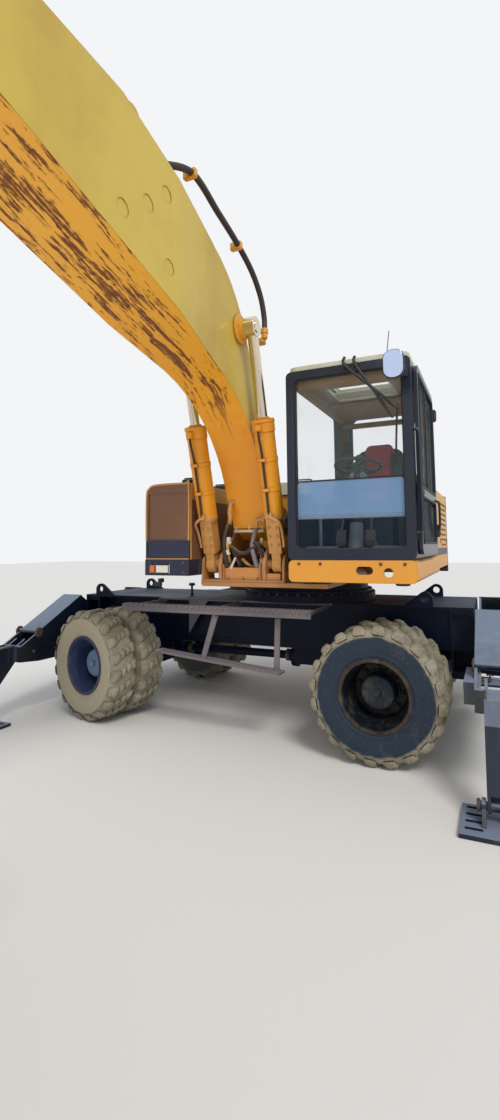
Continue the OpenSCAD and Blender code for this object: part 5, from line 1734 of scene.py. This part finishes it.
@dataclass
class Seat:
    """Driver's seat: cushions with bolsters, base and armrests."""

    middle: float = CAB_MIDDLE
    back_lean: float = 10.0
    waist: float = 0.02
    rows: int = 7
    rounds: int = 36
    fill: float = 0.7

    def cushion(self, width: float, depth: float, thick: float, crown: float) -> Form:
        """A crowned cushion lying flat about the origin.

        Args:
            width: Size along X.
            depth: Size along Y.
            thick: Thickness at the seam.
            crown: How far the middle stands above the edge.

        Returns:
            The form.
        """
        form = Form()
        rings = []
        for level in range(-self.rows, self.rows + 1):
            share = level / self.rows
            swell = math.cos(share * math.pi / 2) ** 0.45 if abs(share) < 1 else 0.0
            inset = 0.62 + 0.38 * swell
            height = thick / 2 * share + (crown * (1 - inset) / 0.38 if share > 0 else 0)
            ring = []
            for k in range(self.rounds):
                a = FULL_TURN * k / self.rounds
                u, v = (math.copysign(abs(c) ** 0.35, c) for c in (math.cos(a), math.sin(a)))
                pull = 1 - self.waist * (1 - min(abs(u), abs(v)))
                ring.append((u * width / 2 * inset * pull, v * depth / 2 * inset * pull, height))
            rings.append(ring)
        form.loft(rings)
        return form

    def place(self, form: Form, centre: Point, turn: float, name: str, finish: Finish) -> bpy.types.Object:
        """Makes a cushion a padded piece.

        Args:
            form: The cushion.
            centre: Where its middle goes.
            turn: Its turn about X in degrees.
            name: The piece's name.
            finish: Its finish.

        Returns:
            The piece.
        """
        form.move(Matrix.Translation(centre) @ Matrix.Rotation(math.radians(turn), 4, "X"))
        made = form.piece(name, "upper", finish, 60)
        return made

    def build(self) -> None:
        """Makes cushions, bolsters, armrests, the back's shell and the suspension's bellows."""
        x = self.middle
        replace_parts(self.place(self.cushion(0.34, 0.47, 0.11, 0.018), (x, 0.225, 2.075), 0,
                               "seat_cushion", SEAT_RED), "seat")
        lean = 90 + self.back_lean
        self.place(self.cushion(0.30, 0.60, 0.11, 0.018), (x, -0.088, 2.395), lean, "seat_back", SEAT_RED)
        for way, name in ((1, "right"), (-1, "left")):
            for size, crown, centre, turn, part in (
                    ((0.09, 0.46, 0.13), 0.01, (x + way * 0.195, 0.225, 2.08), 0, "seat_bolster"),
                    ((0.12, 0.50, 0.14), 0.01, (x + way * 0.185, -0.072, 2.355), lean, "back_bolster"),
                    ((0.07, 0.30, 0.05), 0.008, (x + way * 0.30, 0.14, 2.262), 0, "armrest")):
                self.place(self.cushion(*size, crown), centre, turn, f"{name}_{part}", SEAT_BLACK)
        form = Form()
        form.plate((x - 0.24, 2.005), (x + 0.24, 2.64), 0.10, Axis.Y, (-0.175, -0.14), 0.012)
        for k in range(5):
            inset, z = 0.01 * (k % 2), 1.90 + k * 0.024
            form.plate((x - 0.205 + inset, 0.02 + inset), (x + 0.205 - inset, 0.43 - inset), 0.03,
                       Axis.Z, (z, z + 0.024), 0.006)
        form.piece("seat_shell_and_bellows", "upper", PLASTIC)


@dataclass
class Controls:
    """Levers, pedals, dash and floor of the cab."""

    middle: float = CAB_MIDDLE
    lever: Flat = (0.3, 0.34)
    pedal: float = 0.12
    folds: int = 4

    def levers(self) -> None:
        """Boots and grips of the two hand levers."""
        form = Form()
        for way in (1, -1):
            x, y = self.middle + way * self.lever[0], self.lever[1]
            for k in range(self.folds):
                radius = 0.05 - k * 0.007
                form.turned([(radius * 0.8, 0), (radius, 0.007), (radius * 0.8, 0.014)],
                            (x, y, 2.229 + k * 0.014), UP, 20)
            form.turned([(0.016, 0), (0.022, 0.01), (0.028, 0.05), (0.03, 0.09), (0.026, 0.115),
                         (0.012, 0.125)], (x, y, 2.33), UP, 20)
        form.piece("lever_boots_and_grips", "upper", PLASTIC)

    def pedals(self) -> None:
        """Two pedals with their hand rods."""
        form = Form()
        for way in (1, -1):
            x = self.middle + way * self.pedal
            form.prism([(0.83, 1.654), (1.01, 1.654), (1.02, 1.70), (0.98, 1.79), (0.96, 1.79), (0.99, 1.70)],
                       Axis.X, x - 0.04, x + 0.04)
            form.bar((x, 0.985, 1.78), (x, 0.86, 1.98), 0.010, 12)
            form.bar((x - 0.03, 0.86, 1.985), (x + 0.03, 0.86, 1.985), 0.013, 12)
        form.piece("pedals", "upper", WORN_STEEL)

    def dash(self) -> None:
        """Dash box on its post, column head and boot, floor mat and foot rests."""
        x = self.middle
        form = Form()
        form.box((x + 0.30, 0.72, 2.02), (x + 0.42, 0.86, 2.22), 0.014)
        form.bar((x + 0.36, 0.80, 1.60), (x + 0.36, 0.80, 2.03), 0.016, 12)
        form.box((x - 0.07, 0.80, 2.20), (x + 0.07, 0.90, 2.28), 0.02)
        form.box((x - 0.445, -0.34, 1.604), (x + 0.445, 1.14, 1.612))
        form.turned([(0.075, 0), (0.07, 0.03), (0.058, 0.10), (0.055, 0.235), (0.05, 0.24)],
                    (x, 1.0, 1.607), (0, -0.21, 1), 20)
        for start, end in ((0.14, 0.40), (-0.40, -0.16)):
            form.box((x + start, 1.02, 1.640), (x + end, 1.10, 1.655), 0.004)
        form.piece("dash_and_mat", "upper", GREY_PLASTIC)

    def build(self) -> None:
        """Makes the small parts round the seat."""
        self.levers()
        self.pedals()
        self.dash()


@dataclass
class BoomDress:
    """Pins, pipes, clamps and tubes of the boom."""

    boom_x: float = BOOM_X
    half: float = 0.225
    wide: float = 0.285
    head: Flat = BOOM_HEAD
    tip: Flat = BOOM_TIP
    belly_half: float = 0.163
    # The line of the back's pipes, in Y and Z
    back: tuple[Flat, ...] = (
        (0.86, 2.62), (1.05, 3.02), (1.27, 3.43), (1.62, 3.83), (2.0, 4.03), (2.55, 4.135), (3.05, 4.26))

    def pins(self) -> None:
        """Keepers on the boom's pins, and bosses at the cylinders' heads."""
        form = Form()
        for way in (1, -1):
            x = self.boom_x + way * 0.19
            form.disc((x, *self.tip), (way, 0, 0), 0.085, 32, 0.01, 0.007)
            form.bolts((x + way * 0.013, *self.tip), (way, 0, 0), 0.06, 4, 0.011)
        form.piece("boom_pin_keepers", "boom", WORN_STEEL)
        for way in (1, -1):
            x = self.boom_x + way * self.half
            form.turned([(0.125, 0), (0.125, 0.012), (0.095, 0.02)],
                        (x - way * 0.004, *self.head), (way, 0, 0), 40)
        form.piece("boom_head_bosses", "boom", YELLOW)

    def thick_hose(self) -> None:
        """The hose down the boom's left top edge to the cylinder's rod eye."""
        x = self.boom_x - self.half
        wide = self.boom_x - self.wide
        route = [(wide + 0.05, 2.62, 4.14), (wide - 0.012, 2.35, 4.235), (x - 0.055, 1.95, 4.195),
                 (x - 0.06, 1.60, 4.11), (x - 0.075, 1.36, 3.99), (x - 0.09, 1.22, 3.83),
                 (x - 0.10, 1.17, 3.66), (x - 0.105, 1.18, 3.56)]
        form = Form()
        form.tube(route, 0.024, 14)
        form.piece("boom_side_hose", "boom", HOSE)
        form.turned([(0.026, 0), (0.034, 0.006), (0.034, 0.045), (0.028, 0.05), (0.028, 0.09),
                     (0.022, 0.095)], route[-1], (0, 0.05, -1), 18)
        form.box((x - 0.10, 1.13, 3.43), (x + 0.006, 1.21, 3.475), 0.006)
        for a, b, c in (route[1], route[3]):
            form.block((a + 0.02, b, c), (0.05, 0.02, 0.032), 0.006)
        form.piece("boom_hose_clamps", "boom", YELLOW)

    def top_pipes(self) -> None:
        """Steel pipes along the boom's back with clamps, from the bend to the arm cylinder."""
        form = Form()
        for x in (-0.15, -0.11, 0.11, 0.15):
            form.tube([(self.boom_x + x, y - 0.024, z + 0.018) for y, z in self.back], 0.012, 10, 5)
        form.piece("boom_back_pipes", "boom", BOOM_PAINT)
        for y, z in self.back[1:-1]:
            for way in (1, -1):
                form.block((self.boom_x + way * 0.13, y - 0.0275, z + 0.01), (0.045, 0.0225, 0.03), 0.006)
        form.piece("boom_pipe_clamps", "boom", WORN_STEEL)

    def belly_tubes(self) -> None:
        """Tubes on the boom's underside at its foot, which carry the hoses over."""
        form = Form()
        form.tube([(0.455, 0.85, 2.10), (0.455, 0.90, 2.05), (0.455, 0.925, 1.98), (0.455, 0.915, 1.92),
                   (0.485, 0.88, 1.87)], 0.022)
        form.box((0.42, 0.84, 2.055), (0.49, 0.90, 2.10), 0.006)
        form.tube([(0.135, 0.875, 1.905), (0.165, 0.885, 1.908), (0.193, 0.887, 1.895),
                   (0.203, 0.885, 1.86), (0.203, 0.88, 1.815)], 0.019)
        form.box((0.118, 0.835, 1.875), (0.152, 0.90, 1.938), 0.006)
        form.piece("boom_foot_tubes", "boom", TAN_PIPE)

    def belly_end(self) -> None:
        """The lower end of the belly plate below the boom's bend, and the pipe under it."""
        low, high = self.boom_x - self.belly_half, self.boom_x + self.belly_half
        form = Form()
        form.prism([(0.856, 1.985), (0.852, 1.955), (0.816, 1.829), (0.803, 1.831), (0.836, 1.985)],
                   Axis.X, low, high)
        form.piece("boom_belly_end", "boom", BOOM_PAINT)
        form.bar((low + 0.01, 0.825, 1.802), (high - 0.01, 0.825, 1.802), 0.016, 16)
        for x in (low + 0.03, self.boom_x, high - 0.03):
            form.box((x - 0.008, 0.806, 1.80), (x + 0.008, 0.822, 1.85), 0.002)
        form.piece("boom_foot_pipe", "boom", BRIGHT_STEEL)

    def crossing_hoses(self) -> None:
        """Hoses that bend between the upper frame and the boom's foot."""
        for name, x, inner, top, finish in (("left", 0.203, 0.165, 1.82, GREY_HOSE),
                                            ("right", 0.485, 0.46, 1.87, HOSE)):
            form = Form()
            form.tube([(inner, 0.80, 1.44), (inner, 0.95, 1.47), (inner + (x - inner) * 0.4, 0.99, 1.56),
                       (x, 0.985, top - 0.17), (x, 0.945, top - 0.07), (x, 0.885, top)], 0.020)
            made = form.piece(f"{name}_crossing_hose", "upper", finish)
            made.parent = None
            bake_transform(made)

    def build(self) -> None:
        """Makes everything on the boom."""
        self.pins()
        self.thick_hose()
        self.top_pipes()
        self.belly_tubes()
        self.belly_end()
        self.crossing_hoses()


@dataclass
class CylinderDress:
    """Gland, port, pipe and foot of one hydraulic cylinder."""

    name: str
    body: str
    x: float
    foot: Flat
    head: Flat
    length: float
    radius: float
    rod_radius: float
    pipe_side: int = 1
    front: int = 1
    lug: float = 0.0
    collar: float = 0.018

    def along(self) -> Vector:
        """Direction from the foot to the head."""
        return (Vector((self.x, *self.head)) - Vector((self.x, *self.foot))).normalized()

    def at(self, distance: float, away: float = 0.0, over: float = 0.0) -> Vector:
        """A point given by the cylinder's own directions.

        Args:
            distance: How far from the foot along the cylinder.
            away: How far out towards its ports.
            over: How far to its side.

        Returns:
            The point.
        """
        along = self.along()
        out = Vector((0, along.z, -along.y)) * self.front
        side = Vector((self.pipe_side, 0, 0))
        return Vector((self.x, *self.foot)) + along * distance + out * away + side * over

    def gland(self) -> None:
        """Head flange with its bolts, rod seal, port block and the bands that hold the pipe."""
        along, r, end, rod = self.along(), self.radius, self.length, self.rod_radius
        low = max(self.lug, 0.08)
        form = Form()
        form.turned([(r + 0.008, 0), (r + 0.012, 0.006), (r + 0.012, 0.022), (r + 0.007, 0.028)],
                    self.at(end - 0.035), along, 36)
        form.bolts(self.at(end - 0.007), along, r - 0.018, 8, 0.008)
        form.turned([(rod + 0.002, 0), (rod + 0.014, 0.002), (rod + 0.012, self.collar * 0.8),
                     (rod + 0.002, self.collar)], self.at(end), along, 30)
        form.block(self.at(end - 0.075, r + 0.018), (0.028, 0.028, 0.028), 0.006)
        for share in (0.3, 0.6):
            band = low + (end - low) * share
            form.turned([(r, -0.02), (r + 0.005, -0.018), (r + 0.005, 0.018), (r, 0.02)],
                        self.at(band), along, 36)
            form.block(self.at(band, r + 0.016), (0.03, 0.014, 0.014), 0.004)
        form.piece(f"{self.name}_gland_and_bands", self.body, BARREL_PAINT)

    def pipes(self) -> None:
        """The pipe along the barrel, and the one at its foot."""
        r, end = self.radius, self.length
        low = max(0.22, self.lug + 0.03)
        form = Form()
        form.tube([self.at(*spot) for spot in (
            (end - 0.075, r + 0.03), (end - 0.14, r + 0.04), (end - 0.3, r + 0.018),
            (low + (end - low) * 0.4, r + 0.016), (low + 0.12, r + 0.016), (low, r + 0.022))], 0.011, 10, 5)
        if not self.lug:
            form.tube([self.at(*spot) for spot in (
                (0.20, r + 0.005, 0.03), (0.19, r + 0.04, 0.03), (0.24, r + 0.05, 0.02),
                (0.34, r + 0.02, 0.02))], 0.011, 10, 5)
        form.piece(f"{self.name}_pipes", self.body, HOSE)

    def foot_pipe(self) -> None:
        """Port, pipe and bolts of the long foot below a boom cylinder's barrel."""
        form = Form()
        top = self.lug
        out, along = self.at(0, 1) - self.at(0), self.at(1) - self.at(0)
        form.tube([self.at(*spot) for spot in (
            (top + 0.04, 0.088), (top + 0.035, 0.115), (top + 0.01, 0.118, 0.045), (top - 0.03, 0.10, 0.082),
            (top - 0.10, 0.07, 0.086), (top - 0.22, 0.05, 0.084), (0.17, 0.055, 0.080))], 0.013, 10)
        form.block(self.at(top + 0.04, 0.10), (0.026, 0.02, 0.026), 0.006)
        for share in (0.25, 0.5, 0.75):
            for over in (-0.035, 0.035):
                form.bolt(self.at(0.115 + (top - 0.115) * share, 0.062, over), out, 0.011)
        form.turned([(0.064, 0), (0.088, 0.03), (0.091, 0.05), (0.091, 0.06)],
                    self.at(top - 0.035), along, 36)
        form.piece(f"{self.name}_foot_pipe", self.body, TAN_PIPE)

    def build(self) -> None:
        """Makes the fittings along the cylinder's line."""
        self.gland()
        self.pipes()
        if self.lug:
            self.foot_pipe()


@dataclass
class ArmDress:
    """Pins, pipes and seams of the arm."""

    pivot: Flat = BOOM_TIP
    lean: float = -75.0
    length: float = 2.5
    rocker_from_end: float = 0.425
    # Bucket cylinder's foot: distance along the arm, and out from its back
    cylinder_foot: Flat = (0.15, 0.56)

    def at(self, x: float, a: float, b: float) -> Point:
        """The point x to the right of the arm's middle, a along it from its pivot and b out from its back."""
        c, s = (f(math.radians(self.lean)) for f in (math.cos, math.sin))
        return (BOOM_X + x, self.pivot[0] + a * c - b * s, self.pivot[1] + a * s + b * c)

    def build(self) -> None:
        """Makes the arm's small parts."""
        form = Form()
        for way in (1, -1):
            for x, a, b, r in ((0.1755, self.length - self.rocker_from_end, 0.06, 0.055),
                               (0.1155, *self.cylinder_foot, 0.06)):
                form.disc(self.at(way * x, a, b), (way, 0, 0), r)
        form.piece("arm_pin_keepers", "arm", WORN_STEEL)
        for x in (-0.09, 0.09):
            form.tube([self.at(x, a, b) for a, b in (
                (0.5, -0.24), (0.9, -0.205), (1.5, -0.155), (1.9, -0.125))], 0.011, 10)
            for a in (0.7, 1.2, 1.7):
                form.block(self.at(x, a, -0.23 + (a - 0.5) * 0.075), (0.02, 0.02, 0.02), 0.005)
        form.piece("arm_pipes", "arm", BOOM_PAINT)


@dataclass
class BucketDress:
    """Tooth adapters, side cutters and wear strips of the bucket."""

    arm: ArmDress = field(default_factory=ArmDress)
    half: float = 0.5
    ear_turn: float = 30.0
    teeth: int = 5
    # Outlines in the bucket's own distances, towards the ear (u) and below the pin (v)
    shell: tuple[Flat, ...] = (
        (0.80, 0.33), (0.87, 0.52), (0.85, 0.74), (0.75, 0.93), (0.56, 1.09), (0.30, 1.19))
    cutter: tuple[Flat, ...] = (
        (-0.36, 0.74), (-0.42, 0.72), (-0.56, 1.08), (-0.58, 1.19), (-0.52, 1.20), (-0.50, 1.10))

    def at(self, x: float, u: float, v: float) -> Point:
        """The point x to the right of the bucket's middle, u towards its ear and v below its pin."""
        c, s = (f(math.radians(self.ear_turn)) for f in (math.cos, math.sin))
        return self.arm.at(x, self.arm.length + u * c + v * s, u * s - v * c)

    def edges(self) -> None:
        """Tooth adapters and wear strips."""
        form = Form()
        for i in range(self.teeth):
            x = -self.half + 0.06 + i * (2 * self.half - 0.12) / (self.teeth - 1)
            form.loft([[self.at(x + side * w, u, v) for side, v in ((-1, a), (1, a), (1, b), (-1, b))]
                       for u, a, b, w in ((-0.56, 1.213, 1.284, 0.046), (-0.62, 1.209, 1.288, 0.046),
                                          (-0.66, 1.214, 1.283, 0.041))])
        form.piece("tooth_adapters", "bucket", BUCKET_STEEL)
        for x in (-0.4, 0.0, 0.4):
            form.loft([[self.at(x + side, u * out, v * out) for side, out in (
                (-0.045, 1.002), (0.045, 1.002), (0.045, 1.016), (-0.045, 1.016))] for u, v in self.shell])
        form.piece("bucket_wear_strips", "bucket", BUCKET_STEEL)

    def sides(self) -> None:
        """Side cutters and pin keepers."""
        form = Form()
        for way in (1, -1):
            x = way * (self.half + 0.001)
            form.loft([[self.at(x + way * out, u, v) for u, v in self.cutter] for out in (-0.006, 0.008)])
            for u, v in ((-0.46, 0.90), (-0.51, 1.04), (-0.545, 1.15)):
                form.bolt(self.at(x + way * 0.008, u, v), (way, 0, 0), 0.012)
        form.piece("side_cutters", "bucket", WORN_STEEL)
        for way in (1, -1):
            for u, r in ((0.0, 0.06), (0.43, 0.055)):
                form.disc(self.at(way * 0.2405, u, 0.0), (way, 0, 0), r)
        form.piece("bucket_pin_keepers", "bucket", WORN_STEEL)

    def build(self) -> None:
        """Makes what is welded on the bucket."""
        self.edges()
        self.sides()


def cylinders() -> list[CylinderDress]:
    """The fittings of all four hydraulic cylinders.

    Returns:
        The two boom cylinders, the arm cylinder and the bucket cylinder.
    """
    arm = ArmDress()
    ear, rocker = 0.43, math.pi / 6
    horn = arm.at(0, -0.435, 0.203)
    rocker_end = arm.at(0, arm.length - arm.rocker_from_end + ear * math.cos(rocker), 0.06 + ear * 0.5)
    made = [CylinderDress(f"{name}_boom_cylinder", "boom_barrels", BOOM_X + way * 0.33, BOOM_CYLINDER_FOOT,
                          BOOM_HEAD, length=1.29, radius=0.09, rod_radius=0.045, pipe_side=way, lug=0.43)
            for name, way in (("right", 1), ("left", -1))]
    made.append(CylinderDress("arm_cylinder", "arm_barrel", BOOM_X, ARM_CYLINDER_FOOT, horn[1:],
                              length=1.54, radius=0.08, rod_radius=0.05, front=-1))
    made.append(CylinderDress("bucket_cylinder", "bucket_barrel", BOOM_X, arm.at(0, *arm.cylinder_foot)[1:],
                              rocker_end[1:], length=1.30, radius=0.068, rod_radius=0.04, front=-1,
                              collar=0.006))
    return made


def wheels() -> list[Wheel]:
    """The four wheel bodies.

    Returns:
        Wheels with the colours of wall, cap, disc and lip that each shows.
    """
    table = (("front_left", 1, True, "#A09884", "#6A82A6", "#2A3A5C", "#33405A"),
             ("front_right", -1, True, "#4A4C48", "#5A6C88", "#26344F", "#3A4048"),
             ("rear_left", 1, False, "#1A2A3C", "#12202E", "#0E151E", "#4A4038"),
             ("rear_right", -1, False, "#2A3844", "#1E2C3A", "#0E151E", "#4A3830"))
    return [Wheel(*row) for row in table]


def legs() -> list[LegDress]:
    """The four outrigger legs."""
    return [LegDress(f"{end}_{side}", x, way) for end, x in LEG_X.items()
            for side, way in (("left", 1), ("right", -1))]


def main() -> None:
    """Builds the scene in order; the pieces and finishes are logged as they are made."""
    logging.basicConfig(level=logging.INFO, format="%(message)s")
    parts = [Studio(), Bodywork(), *wheels(), ChassisDress(), *legs(), UpperDress(), BoxDress(), RearDress(),
             CabDress(), Seat(), Controls(), BoomDress(), *cylinders(), ArmDress(), BucketDress()]
    for part in parts:
        part.build()


if __name__ == "__main__":
    main()
